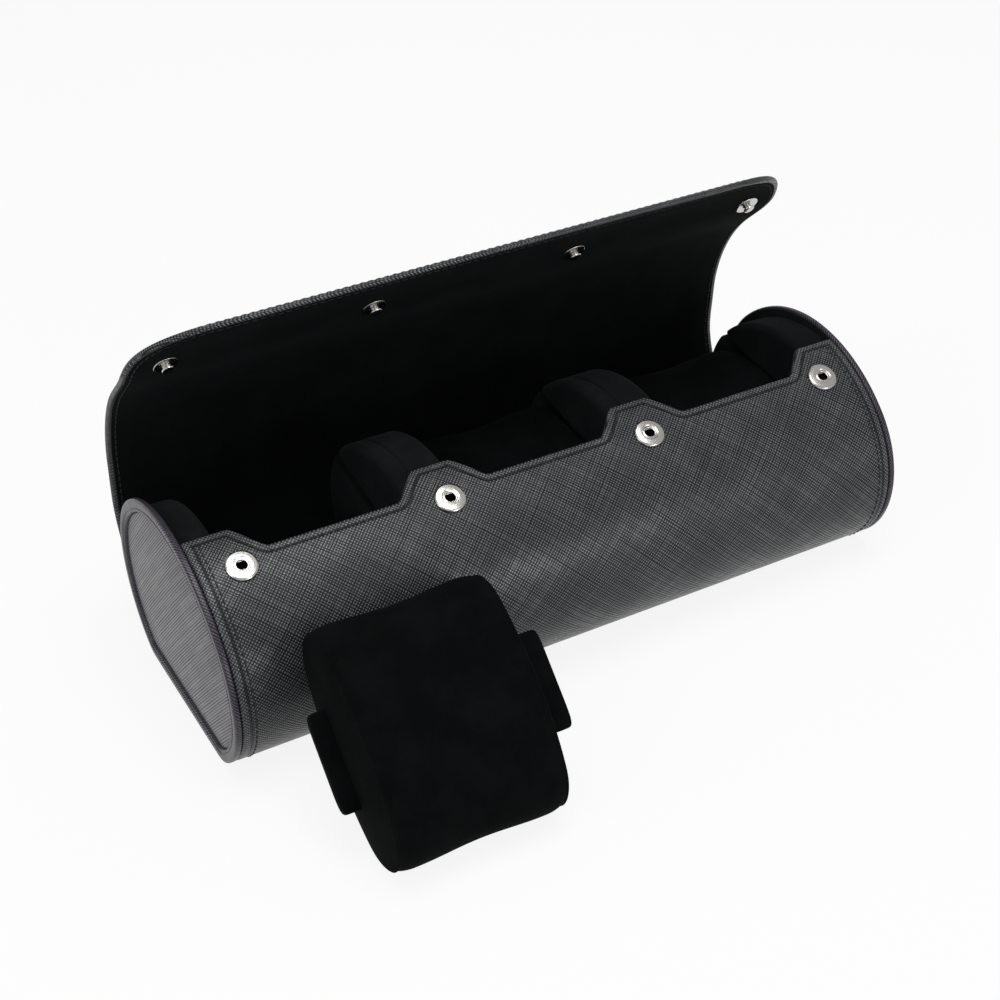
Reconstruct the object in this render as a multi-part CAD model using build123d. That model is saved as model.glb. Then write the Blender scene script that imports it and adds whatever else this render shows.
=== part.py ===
from build123d import *
import os
from math import atan2, cos, degrees, radians, sin, sqrt, tan

# Watch travel case: a D-shaped roll with three cushions, shown with its flap open.
# Millimetres. X runs along the roll, +Y to the back, +Z up.
# The origin is the middle of the flat bottom.

# ---- driving dimensions -------------------------------------------------------------
half_depth = 48.0            # half of the section's width, front to back
crown_height = 40.0          # top of the section above its widest line
spring_height = 30.0         # widest line above the table
side_radius = 34.0           # arcs at the front and back of the section
foot_radius = 11.0           # arcs between the sides and the flat bottom

leather = 1.2
board = 1.1
lining = 0.6
glue = 0.05                  # adhesive line between layers
turned_edge = 1.6            # leather folded over the edge of the board

end_band = 2.0               # end rim's thickness, seen as a band round each end
rim_width = 4.0
rim_bead = 0.6
panel_sunk = 0.8             # end panel below the rim's face
panel_gap = 0.15
end_board_thickness = 2.4
end_board_margin = 7.0

compartment = 58.4
divider = 18.0
end_block_width = 11.15
suede_edge = 1.1             # softened edges of the suede blocks
block_gap = 0.35             # between the blocks and the wrap or the closed flap

front_edge_y = -20.2         # top edge of the front wall between the tabs
tab_reach = 9.6              # how far the tabs reach back from that edge
tab_slope = 8.2              # width taken by a tab's slanted side
middle_tab_half = 6.6
end_tab_inner = 1.3          # from the end snap to the tab's inner corner
tab_corner = 2.0
snap_from_divider = 6.4      # inner snaps, from the face of the divider before them
snap_from_end = 15.45        # outer snaps, from the case's ends
snap_angle = 117.2           # direction of the snaps' axis, from +Y towards +Z

socket_radius = 5.0
socket_height = 1.1
socket_bore = 2.6
socket_wall = 0.35
socket_flare = 0.6           # how much narrower the socket's face is than its foot
socket_mouth = 0.5
snap_clearance = 0.2
rivet_hole = 3.1
washer_radius = 4.4
washer = 0.5
washer_drop = 0.25           # flat washer under the curved leather
spring_wire = 0.3
stud_flange_radius = 4.0
stud_flange = 0.4
stud_seat = 0.16             # flat flange under the curved lining
stud_shank = 1.0
stud_neck = 1.3
stud_head = 1.95
stud_head_height = 0.8
stud_head_edge = 0.35
stud_length = 1.8
cap_radius = 4.2
cap_drop = 0.25
hole_clearance = 0.15

hinge_angle = -30.0          # where the flap leaves the back of the base
back_open_angle = 31.0       # the three creases' angles in the open case
lid_open_angle = 11.0
lip_open_angle = 41.8
lip_crease = 8.0             # crease behind the snaps, along the lid
lip_overhang = 22.0          # lip beyond the snaps, along the lid
lip_corner = 15.0
crease_gap = 0.3
flap_side_gap = 0.3          # flap's ends clear of the end rims
board_crease = 1.2           # boards stop this far from a crease

pad_gap = 2.3                # a pad's width short of its compartment's
pad_half_length = 36.4
pad_half_height = 19.0
pad_end_radius = 15.5
pad_waist = 1.1              # how far the middle of the pad is drawn in
pad_shoulder = 6.0           # length over which the pad rounds in at its ends
pad_shoulder_drop = 1.5
cover = 1.0
pad_end_panel = 1.0
pad_end_crown = 0.8
wing_out = 6.0
wing_length = 30.0
wing_thickness = 4.0
wing_edge = 0.7
wing_u = -0.8                # wing centres, along and across the pad's section
left_wing_v = -4.0
right_wing_v = 12.0
slot_clearance = 0.6
slot_back_run = 44.0         # slots run on behind the wings, out of the blocks' back

seat_y = 2.0
seat_z = 31.2
seat_tilt = 11.0
lean_shift = 7.2             # leaning cushion, right of its own compartment's middle
lean_tilt = 43.7
lean_gap = 0.35

# ---- worked out from them -----------------------------------------------------------
wall = leather + board + lining + 2 * glue
divider_near = compartment / 2
divider_far = divider_near + divider
block_face = divider_far + compartment
body_half = block_face + end_block_width
case_length = 2 * (body_half + end_band)
pitch = compartment + divider
pad_width = compartment - pad_gap
side_y = half_depth - side_radius
crown_radius = (side_y**2 + crown_height**2 - side_radius**2) / (2 * (crown_height - side_radius))
crown_z = spring_height + crown_height - crown_radius
shoulder_angle = degrees(atan2(spring_height - crown_z, side_y))
foot_y = side_y + sqrt((side_radius - foot_radius) ** 2 - (spring_height - foot_radius) ** 2)
foot_angle = degrees(atan2(foot_radius - spring_height, foot_y - side_y))

snap_inner_x = divider_near + snap_from_divider
snap_outer_x = case_length / 2 - snap_from_end
snap_x = (-snap_outer_x, -snap_inner_x, snap_inner_x, snap_outer_x)

snap_lift = wall + socket_height + stud_flange + stud_seat + snap_clearance
flap_half = body_half - flap_side_gap
lip_radius = crown_radius + snap_lift
lip_start = snap_angle - degrees(lip_crease / lip_radius)
lip_end = snap_angle + degrees(lip_overhang / lip_radius)


def polar(centre, radius, angle):
    """Point at an angle in degrees on a circle in the (y, z) plane."""
    return (centre[0] + radius * cos(radians(angle)), centre[1] + radius * sin(radians(angle)))


side_centre = (side_y, spring_height)
crown_centre = (0.0, crown_z)
hinge_point = polar(side_centre, side_radius, hinge_angle)
shoulder_point = polar(side_centre, side_radius, shoulder_angle)
lip_point = polar(crown_centre, lip_radius, lip_start)

# The lid's arc leaves the shoulder along its tangent and ends at the lip's crease.
shoulder_normal = (cos(radians(shoulder_angle)), sin(radians(shoulder_angle)))
chord = (lip_point[0] - shoulder_point[0], lip_point[1] - shoulder_point[1])
chord_dot = chord[0] * shoulder_normal[0] + chord[1] * shoulder_normal[1]
lid_radius = -(chord[0] ** 2 + chord[1] ** 2) / (2 * chord_dot)
lid_centre = polar(shoulder_point, -lid_radius, shoulder_angle)
lid_end = degrees(atan2(lip_point[1] - lid_centre[1], lip_point[0] - lid_centre[0]))
lip_mitre = crease_gap / 2 + wall * tan(radians(lip_start - lid_end) / 2)

pad_crown_radius = (
    (pad_half_length - pad_end_radius) ** 2 + pad_half_height**2 - pad_end_radius**2
) / (2 * (pad_half_height - pad_end_radius))
pad_crown_offset = pad_crown_radius - pad_half_height


# ---- profiles -----------------------------------------------------------------------
def section(inset=0.0):
    """The case's D section, drawn in by an inset, as a face in the YZ plane at x = 0."""
    right = [
        CenterArc((foot_y, foot_radius), foot_radius - inset, 270, foot_angle + 90),
        CenterArc(side_centre, side_radius - inset, foot_angle, shoulder_angle - foot_angle),
    ]
    left = [mirror(arc, about=Plane.YZ) for arc in right]
    crown = CenterArc(crown_centre, crown_radius - inset, shoulder_angle, 180 - 2 * shoulder_angle)
    floor = Line((-foot_y, inset), (foot_y, inset))
    return Plane.YZ * make_face([floor, crown] + right + left)


def slab(face, low, high):
    """A face in the YZ plane made into a solid from x = low to x = high."""
    return extrude(Pos(low, 0, 0) * face, high - low, dir=(1, 0, 0))


def bent_strip(centre, radius, start, end, depths, trims, half):
    """A strip between two arcs: its depths are below the flap's face, its trims along it."""
    outer = radius - depths[0]
    inner = radius - depths[1]
    first = start + degrees(trims[0] / radius)
    last = end - degrees(trims[1] / radius)
    edges = [
        CenterArc(centre, outer, first, last - first),
        CenterArc(centre, inner, first, last - first),
        Line(polar(centre, inner, first), polar(centre, outer, first)),
        Line(polar(centre, inner, last), polar(centre, outer, last)),
    ]
    return slab(Plane.YZ * make_face(edges), -half, half)


def pad_oval(inset, x):
    """The pad's four-arc oval in the YZ plane at x, drawn in by an inset."""
    end_y = pad_half_length - pad_end_radius
    turn = degrees(atan2(pad_crown_offset, end_y))
    end_radius = pad_end_radius - inset
    top_radius = pad_crown_radius - inset
    edges = [
        CenterArc((end_y, 0), end_radius, -turn, 2 * turn),
        CenterArc((0, -pad_crown_offset), top_radius, turn, 180 - 2 * turn),
        CenterArc((-end_y, 0), end_radius, 180 - turn, 2 * turn),
        CenterArc((0, pad_crown_offset), top_radius, 180 + turn, 180 - 2 * turn),
    ]
    return Pos(x, 0, 0) * (Plane.YZ * make_face(edges))


def snap_plane(x, lift=0.0):
    """Plane on the front wall at a snap: its normal is the snap's axis."""
    if snap_angle > 180 - shoulder_angle:
        y, z = polar((-side_y, spring_height), side_radius + lift, snap_angle)
    else:
        y, z = polar(crown_centre, crown_radius + lift, snap_angle)
    normal = (0, cos(radians(snap_angle)), sin(radians(snap_angle)))
    return Plane(origin=(x, y, z), x_dir=(1, 0, 0), z_dir=normal)


def turned(points):
    """Solid of revolution from (radius, height) points, about Z."""
    return revolve(Plane.XZ * make_face(Polyline(*points, close=True)), Axis.Z)


def rod(radius, low, high):
    """Cylinder about Z between two heights."""
    return Pos(0, 0, (low + high) / 2) * Cylinder(radius, high - low)


def punch(radius, low, high):
    """Twelve-sided punch about Z that clears a circle of that radius."""
    outline = RegularPolygon(radius, 12, major_radius=False)
    return Pos(0, 0, low) * extrude(outline, high - low)


def at_snaps(shape, lift=0.0):
    """One copy of a shape at each snap on the front wall."""
    return [snap_plane(x, lift) * shape for x in snap_x]


# ---- where the flap's panels stand in the open case -----------------------------------
def turn_about(point, angle):
    """Location that turns about a line along X through a (y, z) point."""
    y, z = point
    return Pos(0, y, z) * Rot(angle, 0, 0) * Pos(0, -y, -z)


back_place = turn_about(hinge_point, -back_open_angle)
lid_place = back_place * turn_about(shoulder_point, -lid_open_angle)
lip_place = lid_place * turn_about(lip_point, -lip_open_angle)


# ---- base ---------------------------------------------------------------------------
def front_opening(margin):
    """Everything above and behind the front edge and its tabs, in plan.

    Only the leather's own edge has rounded corners. What lies inside it is cut straight.
    """
    edge = front_edge_y - margin
    tip = edge + tab_reach
    corners = [(-case_length, tip)]
    for x in snap_x:
        at_end = abs(x) == snap_outer_x
        if not (at_end and x < 0):
            left = x - (end_tab_inner if at_end else middle_tab_half) + margin
            corners += [(left - tab_slope, edge), (left, tip)]
        if not (at_end and x > 0):
            right = x + (end_tab_inner if at_end else middle_tab_half) - margin
            corners += [(right, tip), (right + tab_slope, edge)]
    corners += [(case_length, tip), (case_length, half_depth), (-case_length, half_depth)]
    plan = make_face(Polyline(*corners, close=True))
    if margin == 0:
        plan = fillet(plan.vertices().filter_by(lambda v: abs(v.X) < body_half), tab_corner)
    return Pos(0, 0, spring_height + side_radius / 4) * extrude(plan, half_depth * 2)


def wrap_layer(depths, margin, hinge_trim):
    """One layer of the front wall, bottom and lower back, with the four tabs."""
    half = body_half - margin
    sheet = slab(section(depths[0]) - section(depths[1]), -half, half)
    sheet -= front_opening(margin)
    trim = degrees(hinge_trim / side_radius)
    inner = polar(side_centre, side_radius - 2 * wall, hinge_angle - trim)
    outer = polar(side_centre, side_radius + 2 * wall, hinge_angle - trim)
    above = [inner, outer, (2 * half_depth, 2 * half_depth), (side_y - wall, 2 * half_depth)]
    return sheet - slab(Plane.YZ * make_face(Polyline(*above, close=True)), -half, half)


def drilled(sheet, radius):
    """A layer of the wrap with a hole at each snap."""
    for hole in at_snaps(punch(radius, -3 * wall, wall)):
        sheet -= hole
    return sheet


def wrap_leather():
    """Outer leather, folded over the boards' edges to the lining's face."""
    sheet = wrap_layer((0, wall), 0, crease_gap / 2)
    sheet -= wrap_layer((leather, 2 * wall), turned_edge - glue, -1)
    return drilled(sheet, rivet_hole)


def wrap_board():
    depths = (leather + glue, leather + glue + board)
    sheet = wrap_layer(depths, turned_edge, crease_gap / 2 + board_crease)
    return drilled(sheet, washer_radius + hole_clearance)


def wrap_lining():
    return wrap_layer((wall - lining, wall), turned_edge, crease_gap / 2)


def end_rim(sign):
    ring = slab(section() - section(rim_width), body_half, case_length / 2)
    outline = ring.faces().sort_by(Axis.X)[-1].outer_wire().edges()
    ring = chamfer(outline, rim_bead)
    return ring if sign > 0 else mirror(ring, about=Plane.YZ)


def end_panel(sign):
    face_x = case_length / 2 - panel_sunk
    panel = slab(section(rim_width + panel_gap), body_half, face_x)
    panel = chamfer(panel.faces().sort_by(Axis.X)[-1].edges(), panel_sunk / 2)
    return panel if sign > 0 else mirror(panel, about=Plane.YZ)


def end_board(sign):
    inset = wall + end_board_margin
    plate = slab(section(inset), body_half - end_board_thickness, body_half)
    return plate if sign > 0 else mirror(plate, about=Plane.YZ)


def wing_slot(sign, v):
    """Slot for a wing on that side of a seated cushion whose centre is at x = 0."""
    reach = pad_width / 2 + wing_out + slot_clearance
    length = wing_length + 2 * slot_clearance + slot_back_run
    height = wing_thickness + 2 * slot_clearance
    bar = Pos(sign * reach / 2, wing_u + slot_back_run / 2, v) * Box(reach, length, height)
    return seat_place * bar


def suede_block(low, high, soft_faces):
    """Suede-covered block that fills the section inside the wrap, with softened edges."""
    block = slab(section(wall + block_gap), low, high)
    for x in soft_faces:
        face = block.faces().filter_by(Axis.X).sort_by(lambda f, at=x: abs(f.center().X - at))[0]
        block = chamfer(face.edges(), suede_edge)
    return block


def end_block(sign):
    block = suede_block(block_face, body_half, [block_face])
    if sign < 0:
        block = mirror(block, about=Plane.YZ)
    block -= end_board(sign)
    wing_v = right_wing_v if sign > 0 else left_wing_v
    return block - Pos(sign * pitch, 0, 0) * wing_slot(sign, wing_v)


def divider_block(sign):
    low = divider_near if sign > 0 else -divider_far
    block = suede_block(low, low + divider, [low, low + divider])
    left_place = 0 if sign > 0 else -pitch
    block -= Pos(left_place, 0, 0) * wing_slot(1, right_wing_v)
    return block - Pos(left_place + pitch, 0, 0) * wing_slot(-1, left_wing_v)


# ---- snaps --------------------------------------------------------------------------
def socket_ring():
    """Pressed ring with a flared mouth and a barrel through the leather."""
    barrel = socket_bore + socket_wall
    low = -leather - washer_drop - washer
    return turned([
        (socket_bore, low),
        (barrel, low),
        (barrel, 0),
        (socket_radius, 0),
        (socket_radius - socket_flare, socket_height),
        (socket_bore + socket_mouth, socket_height),
    ])


def socket_washer():
    low = -leather - washer_drop - washer
    return rod(washer_radius, low, low + washer) - rod(socket_bore + socket_wall, -2 * wall, 0)


def socket_springs():
    """Two spring wires across the socket's bore, either side of the stud."""
    offset = stud_head + spring_wire
    length = 2 * sqrt(socket_bore**2 - offset**2) - spring_wire
    height = socket_height + snap_clearance - stud_length + stud_head_height + spring_wire
    wire = extrude(Plane.XZ * RegularPolygon(spring_wire / 2, 6), length / 2, both=True)
    return [Pos(side * offset, 0, height) * wire for side in (-1, 1)]


def snap_stud():
    """Lid stud in the socket's own frame: its head points down, towards the socket."""
    face = socket_height + snap_clearance
    tip = face - stud_length
    back = face + stud_flange
    return turned([
        (0, tip),
        (stud_head, tip + stud_head_edge),
        (stud_neck, tip + stud_head_height),
        (stud_neck, face),
        (stud_flange_radius, face),
        (stud_flange_radius, back),
        (stud_shank, back),
        (stud_shank, back + stud_seat + lining + glue),
        (0, back + stud_seat + lining + glue),
    ])


def stud_cap():
    """Rivet cap under the leather, in a hole of the lip's board."""
    low = snap_lift - wall + lining + 2 * glue
    return rod(cap_radius, low, low + board - cap_drop)


# ---- flap ---------------------------------------------------------------------------
def flap_panel(name, centre, radius, start, end, creases, shape_to=None):
    """Leather, board and lining of one panel of the flap, as in the closed case.

    creases holds the trim at each of the two long edges, or None at a free edge.
    shape_to(solid, margin) cuts a layer to the panel's own outline.
    """
    shape_to = shape_to or (lambda solid, margin: solid)

    def layer(depths, margin, at_crease):
        trims = [margin if trim is None else trim + at_crease for trim in creases]
        strip = bent_strip(centre, radius, start, end, depths, trims, flap_half - margin)
        return shape_to(strip, margin)

    blank = layer((0, wall), 0, 0)
    pocket = layer((leather, 2 * wall), turned_edge - glue, -2)
    return {
        f"{name}_leather": blank - pocket,
        f"{name}_board": layer((leather + glue, leather + glue + board), turned_edge, board_crease),
        f"{name}_lining": layer((wall - lining, wall), turned_edge, 0),
    }


def back_layers():
    trim = crease_gap / 2
    arc = (side_centre, side_radius, hinge_angle, shoulder_angle)
    return flap_panel("back", *arc, (trim, trim))


def lid_layers():
    arc = (lid_centre, lid_radius, shoulder_angle, lid_end)
    return flap_panel("lid", *arc, (crease_gap / 2, lip_mitre))


def lip_layers():
    """The lip's layers, with its two rounded corners and the studs' holes."""
    middle = (lip_start + lip_end) / 2
    reach = lip_radius * sin(radians(lip_end - lip_start) / 2)
    y, z = polar(crown_centre, lip_radius, middle)
    normal = (0, cos(radians(middle)), sin(radians(middle)))
    plane = Plane(origin=(0, y, z), x_dir=(-1, 0, 0), z_dir=normal)

    def rounded(solid, margin):
        blank = Pos(0, -reach - margin) * Rectangle(2 * (flap_half - margin), 4 * reach)
        free_edge = blank.vertices().group_by(Axis.Y)[-1]
        blank = fillet(free_edge, lip_corner - margin)
        return solid & extrude(plane * blank, lip_radius / 3, both=True)

    arc = (crown_centre, lip_radius, lip_start, lip_end)
    made = flap_panel("lip", *arc, (lip_mitre, None), rounded)
    for hole in at_snaps(punch(cap_radius + hole_clearance, 0, 2 * snap_lift)):
        made["lip_board"] -= hole
    for hole in at_snaps(punch(stud_neck, 0, 2 * snap_lift)):
        made["lip_lining"] -= hole
    return made


# ---- cushions -----------------------------------------------------------------------
def pad_loft(half_width):
    """Oval roll whose middle is drawn in and whose ends round over."""
    ends = [(half_width, pad_shoulder_drop), (half_width - pad_shoulder, 0)]
    ovals = [pad_oval(drop, -x) for x, drop in ends]
    ovals += [pad_oval(pad_waist, 0)]
    ovals += [pad_oval(drop, x) for x, drop in reversed(ends)]
    return loft(ovals, ruled=True)


def pad_cover():
    """Suede sleeve round the foam."""
    half = pad_width / 2 - pad_end_panel
    return pad_loft(half) - slab(pad_oval(cover + pad_waist, 0), -half, half)


def pad_foam():
    half = pad_width / 2 - pad_end_panel
    return slab(pad_oval(cover + pad_waist + glue, 0), -half, half)


def pad_end(sign):
    """Crowned suede panel that closes the pad's end."""
    low = pad_width / 2 - pad_end_panel
    base = pad_oval(pad_shoulder_drop, 0)
    rim = pad_oval(pad_shoulder_drop + pad_end_crown, 0)
    panel = loft([Pos(low, 0, 0) * base, Pos(low + pad_end_panel, 0, 0) * rim])
    return panel if sign > 0 else mirror(panel, about=Plane.YZ)


def pad_wing(sign):
    v = right_wing_v if sign > 0 else left_wing_v
    plate = Box(wing_out, wing_length, wing_thickness)
    plate = chamfer(plate.edges().filter_by(Axis.X), wing_edge)
    plate = Pos(pad_width / 2 + wing_out / 2, wing_u, v) * plate
    if sign < 0:
        plate = mirror(plate, about=Plane.YZ)
    return plate


def pad_support(angle):
    """How far the pad's oval reaches from its centre in a direction, in degrees."""
    end_y = pad_half_length - pad_end_radius
    turn = degrees(atan2(pad_crown_offset, end_y))
    if turn < abs(angle) < 180 - turn:
        return pad_crown_radius - pad_crown_offset * abs(sin(radians(angle)))
    return pad_end_radius + end_y * abs(cos(radians(angle)))


def leaning_place():
    """Location of the cushion that leans on the front wall, standing on the table."""
    end_y = pad_half_length - pad_end_radius
    centre_z = pad_support(-90 - lean_tilt)
    top_end_z = centre_z + end_y * sin(radians(lean_tilt))
    apart = pad_end_radius + side_radius + lean_gap
    across = sqrt(apart**2 - (top_end_z - spring_height) ** 2)
    centre_y = -side_y - across - end_y * cos(radians(lean_tilt))
    return Pos(lean_shift - pitch, centre_y, centre_z) * Rot(lean_tilt, 0, 0)


seat_place = Pos(0, seat_y, seat_z) * Rot(seat_tilt, 0, 0)
cushion_places = {
    "left": leaning_place(),
    "middle": seat_place,
    "right": Pos(pitch, 0, 0) * seat_place,
}


# ---- all the pieces -----------------------------------------------------------------
def pieces():
    made = {
        "wrap_leather": wrap_leather(),
        "wrap_board": wrap_board(),
        "wrap_lining": wrap_lining(),
    }
    for side, sign in (("left", -1), ("right", 1)):
        made[f"end_rim_{side}"] = end_rim(sign)
        made[f"end_panel_{side}"] = end_panel(sign)
        made[f"end_board_{side}"] = end_board(sign)
        made[f"end_block_{side}"] = end_block(sign)
        made[f"divider_{side}"] = divider_block(sign)
    made["snap_sockets"] = at_snaps(socket_ring())
    made["snap_washers"] = at_snaps(socket_washer())
    made["snap_springs"] = [spring for wire in socket_springs() for spring in at_snaps(wire)]

    back = back_layers()
    lid = lid_layers()
    lip = lip_layers()
    lip["snap_studs"] = at_snaps(snap_stud())
    lip["snap_caps"] = at_snaps(stud_cap())
    for place, group in ((back_place, back), (lid_place, lid), (lip_place, lip)):
        for name, shape in group.items():
            items = shape if isinstance(shape, list) else [shape]
            made[name] = [place * item for item in items]

    cushion = {
        "cover": pad_cover(),
        "foam": pad_foam(),
        "end_left": pad_end(-1),
        "end_right": pad_end(1),
        "wing_left": pad_wing(-1),
        "wing_right": pad_wing(1),
    }
    for where, place in cushion_places.items():
        for name, shape in cushion.items():
            made[f"cushion_{where}_{name}"] = place * shape
    return made


def main():
    os.makedirs("parts", exist_ok=True)
    for name, shape in pieces().items():
        items = shape if isinstance(shape, list) else [shape]
        solids = [solid for item in items for solid in item.solids()]
        export_step(Compound(children=solids) if len(solids) > 1 else solids[0], f"parts/{name}.step")
    print("section crown radius", round(crown_radius, 2), "lid radius", round(lid_radius, 2))
    print("creases (y, z) mm:", hinge_point, shoulder_point, lip_point)
    for place, point, label in (
        (back_place, hinge_point, "back"),
        (back_place, shoulder_point, "lid"),
        (lid_place, lip_point, "lip"),
    ):
        there = (place * Pos(0, *point)).position
        print(label, "crease in the open case:", round(there.Y, 3), round(there.Z, 3))


main()
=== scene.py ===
"""Looks of a watch travel case: a D-shaped leather roll with an open flap and three cushions.

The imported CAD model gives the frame. Every surface that shows is a numpy form fitted over its
CAD node. Sizes are millimetres in the CAD frame (X along the roll, +Y back, +Z up) and become
metres in each mesh.
"""

import logging
import math
from dataclasses import dataclass, field, replace
from enum import Enum
from typing import Callable, Optional, Sequence

import bpy
import numpy as np
from mathutils import Matrix, Vector


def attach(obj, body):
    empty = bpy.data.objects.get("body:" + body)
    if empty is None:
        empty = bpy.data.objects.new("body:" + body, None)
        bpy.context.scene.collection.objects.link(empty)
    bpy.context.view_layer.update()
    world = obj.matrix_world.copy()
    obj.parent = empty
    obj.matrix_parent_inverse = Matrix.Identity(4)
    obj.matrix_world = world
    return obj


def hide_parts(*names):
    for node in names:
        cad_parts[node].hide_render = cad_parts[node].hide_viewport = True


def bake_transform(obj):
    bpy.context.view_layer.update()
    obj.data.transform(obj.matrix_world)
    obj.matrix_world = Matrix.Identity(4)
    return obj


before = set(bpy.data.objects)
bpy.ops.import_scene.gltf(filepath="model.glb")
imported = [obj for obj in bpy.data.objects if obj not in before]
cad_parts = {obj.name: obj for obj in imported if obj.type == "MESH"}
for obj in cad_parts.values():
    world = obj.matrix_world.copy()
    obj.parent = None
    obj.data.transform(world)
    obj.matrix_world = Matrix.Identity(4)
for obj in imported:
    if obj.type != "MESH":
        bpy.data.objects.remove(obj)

LOG = logging.getLogger("travel_case")
MM = 0.001


# ---- sizes ---------------------------------------------------------------------------------
@dataclass(frozen=True)
class CaseSizes:
    """Sizes of the case in millimetres and degrees.

    They are the CAD source's, but for the last group, which only the looks have.
    """

    half_depth: float = 48.0
    crown_height: float = 40.0
    spring_height: float = 30.0
    side_radius: float = 34.0
    foot_radius: float = 11.0
    wall: float = 3.0
    hem: float = 1.6
    rim: float = 2.0
    compartment: float = 58.4
    divider: float = 18.0
    end_block: float = 11.15
    block_inset: float = 3.35
    front_edge_y: float = -20.2
    tab_reach: float = 9.6
    tab_slope: float = 8.2
    middle_tab_half: float = 6.6
    end_tab_inner: float = 1.3
    tab_corner: float = 2.0
    snap_from_divider: float = 6.4
    snap_from_end: float = 15.45
    snap_angle: float = 117.2
    snap_lift: float = 4.86
    flap_side_gap: float = 0.3
    hinge_angle: float = -30.0
    back_open: float = 31.0
    lid_open: float = 11.0
    lip_open: float = 41.8
    lip_crease: float = 8.0
    lip_overhang: float = 22.0
    pad_gap: float = 2.3
    seat_y: float = 2.0
    seat_z: float = 31.2
    seat_tilt: float = 11.0
    lean_shift: float = 7.2
    lean_tilt: float = 43.7
    lean_gap: float = 0.35

    lip_corner: float = 27.0
    crease_reaches: tuple[float, float, float] = (8.0, 12.0, 8.0)
    lip_bend_lead: float = 15.0
    lining_sunk: float = 0.3
    lining_proud: float = 0.15
    leather_tip: float = 1.2
    lining_tip: float = 0.3
    hinge_lead: float = 10.0
    stitch_inset: float = 3.0

    @property
    def leather_depths(self) -> tuple[float, float]:
        """Depths of the leather's two faces below the outer one."""
        return (0.0, self.wall)

    @property
    def lining_depths(self) -> tuple[float, float]:
        """Depths of the lining's two faces below the outer one."""
        return (self.wall - self.lining_sunk, self.wall + self.lining_proud)

    @property
    def pad_half(self) -> float:
        """Half length of a cushion along X, without its wings."""
        return (self.compartment - self.pad_gap) / 2

    @property
    def block_face(self) -> float:
        """Inner face of the end blocks along X."""
        return self.compartment * 1.5 + self.divider

    @property
    def body_half(self) -> float:
        """Half length of the wrap between the end rims."""
        return self.block_face + self.end_block

    @property
    def end_x(self) -> float:
        """Outer face of the end rims along X."""
        return self.body_half + self.rim

    @property
    def flap_half(self) -> float:
        """Half length of the flap."""
        return self.body_half - self.flap_side_gap

    @property
    def side_y(self) -> float:
        """Offset of the side arcs' centres from the middle."""
        return self.half_depth - self.side_radius

    @property
    def crown_radius(self) -> float:
        """Radius of the arc over the top of the section."""
        rise = self.crown_height - self.side_radius
        return (self.side_y**2 + self.crown_height**2 - self.side_radius**2) / (2 * rise)

    @property
    def crown_z(self) -> float:
        """Height of the crown arc's centre."""
        return self.spring_height + self.crown_height - self.crown_radius

    @property
    def shoulder_angle(self) -> float:
        """Angle, in degrees, at which the side arcs meet the crown."""
        return math.degrees(math.atan2(self.spring_height - self.crown_z, self.side_y))

    @property
    def middle(self) -> tuple[float, float]:
        """Middle of the closed section, in (y, z)."""
        return (0.0, (self.spring_height + self.crown_height) / 2)

    @property
    def foot_y(self) -> float:
        """Offset of the foot arcs' centres from the middle."""
        span = self.side_radius - self.foot_radius
        return self.side_y + math.sqrt(span**2 - (self.spring_height - self.foot_radius) ** 2)

    @property
    def foot_angle(self) -> float:
        """Angle, in degrees, at which the side arcs meet the foot arcs."""
        drop = self.foot_radius - self.spring_height
        return math.degrees(math.atan2(drop, self.foot_y - self.side_y))

    @property
    def pitch(self) -> float:
        """Distance between the middles of two compartments."""
        return self.compartment + self.divider

    @property
    def snap_places(self) -> tuple[float, ...]:
        """The four snaps' places along X."""
        inner = self.compartment / 2 + self.snap_from_divider
        outer = self.end_x - self.snap_from_end
        return (-outer, -inner, inner, outer)


@dataclass(frozen=True)
class PadSizes:
    """Sizes of one cushion in millimetres."""

    half_length: float = 36.4
    half_height: float = 19.0
    end_radius: float = 15.5
    waist: float = 1.1
    shoulder: float = 6.0
    shoulder_drop: float = 1.5
    end_crown: float = 1.3
    wing_out: float = 6.0
    wing_length: float = 30.0
    wing_thickness: float = 4.0
    wing_u: float = -0.8
    left_wing_v: float = -4.0
    right_wing_v: float = 12.0

    @property
    def end_y(self) -> float:
        """Offset of the end arcs' centres from the middle."""
        return self.half_length - self.end_radius

    @property
    def crown_radius(self) -> float:
        """Radius of the shallow arcs above and below."""
        rise = self.half_height - self.end_radius
        return (self.end_y**2 + self.half_height**2 - self.end_radius**2) / (2 * rise)

    @property
    def crown_drop(self) -> float:
        """How far the shallow arcs' centres lie beyond the middle."""
        return self.crown_radius - self.half_height

    @property
    def turn(self) -> float:
        """Angle, in degrees, at which the end arcs meet the shallow ones."""
        return math.degrees(math.atan2(self.crown_drop, self.end_y))


FAR_FROM_EDGE = 50.0
FIRST_SEED = 3
SIZES = CaseSizes()
PAD = PadSizes()


# ---- plane curves --------------------------------------------------------------------------
def polar(centre: Sequence[float], radius: float, degrees: np.ndarray | float) -> np.ndarray:
    """Points at angles in degrees on a circle.

    Args:
        centre: The circle's centre.
        radius: Its radius.
        degrees: One angle or an array of them.

    Returns:
        Points with a last axis of 2.
    """
    angle = np.radians(degrees)
    return np.stack([centre[0] + radius * np.cos(angle), centre[1] + radius * np.sin(angle)], -1)


def turned_about(
    points: np.ndarray, pivot: Sequence[float], degrees: float | np.ndarray
) -> np.ndarray:
    """Plane points turned about a pivot, by one angle in degrees or each by its own."""
    angle = np.radians(degrees)
    y, z = np.moveaxis(points - np.asarray(pivot), -1, 0)
    c, s = np.cos(angle), np.sin(angle)
    return np.stack([y * c - z * s, y * s + z * c], -1) + np.asarray(pivot)


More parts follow.
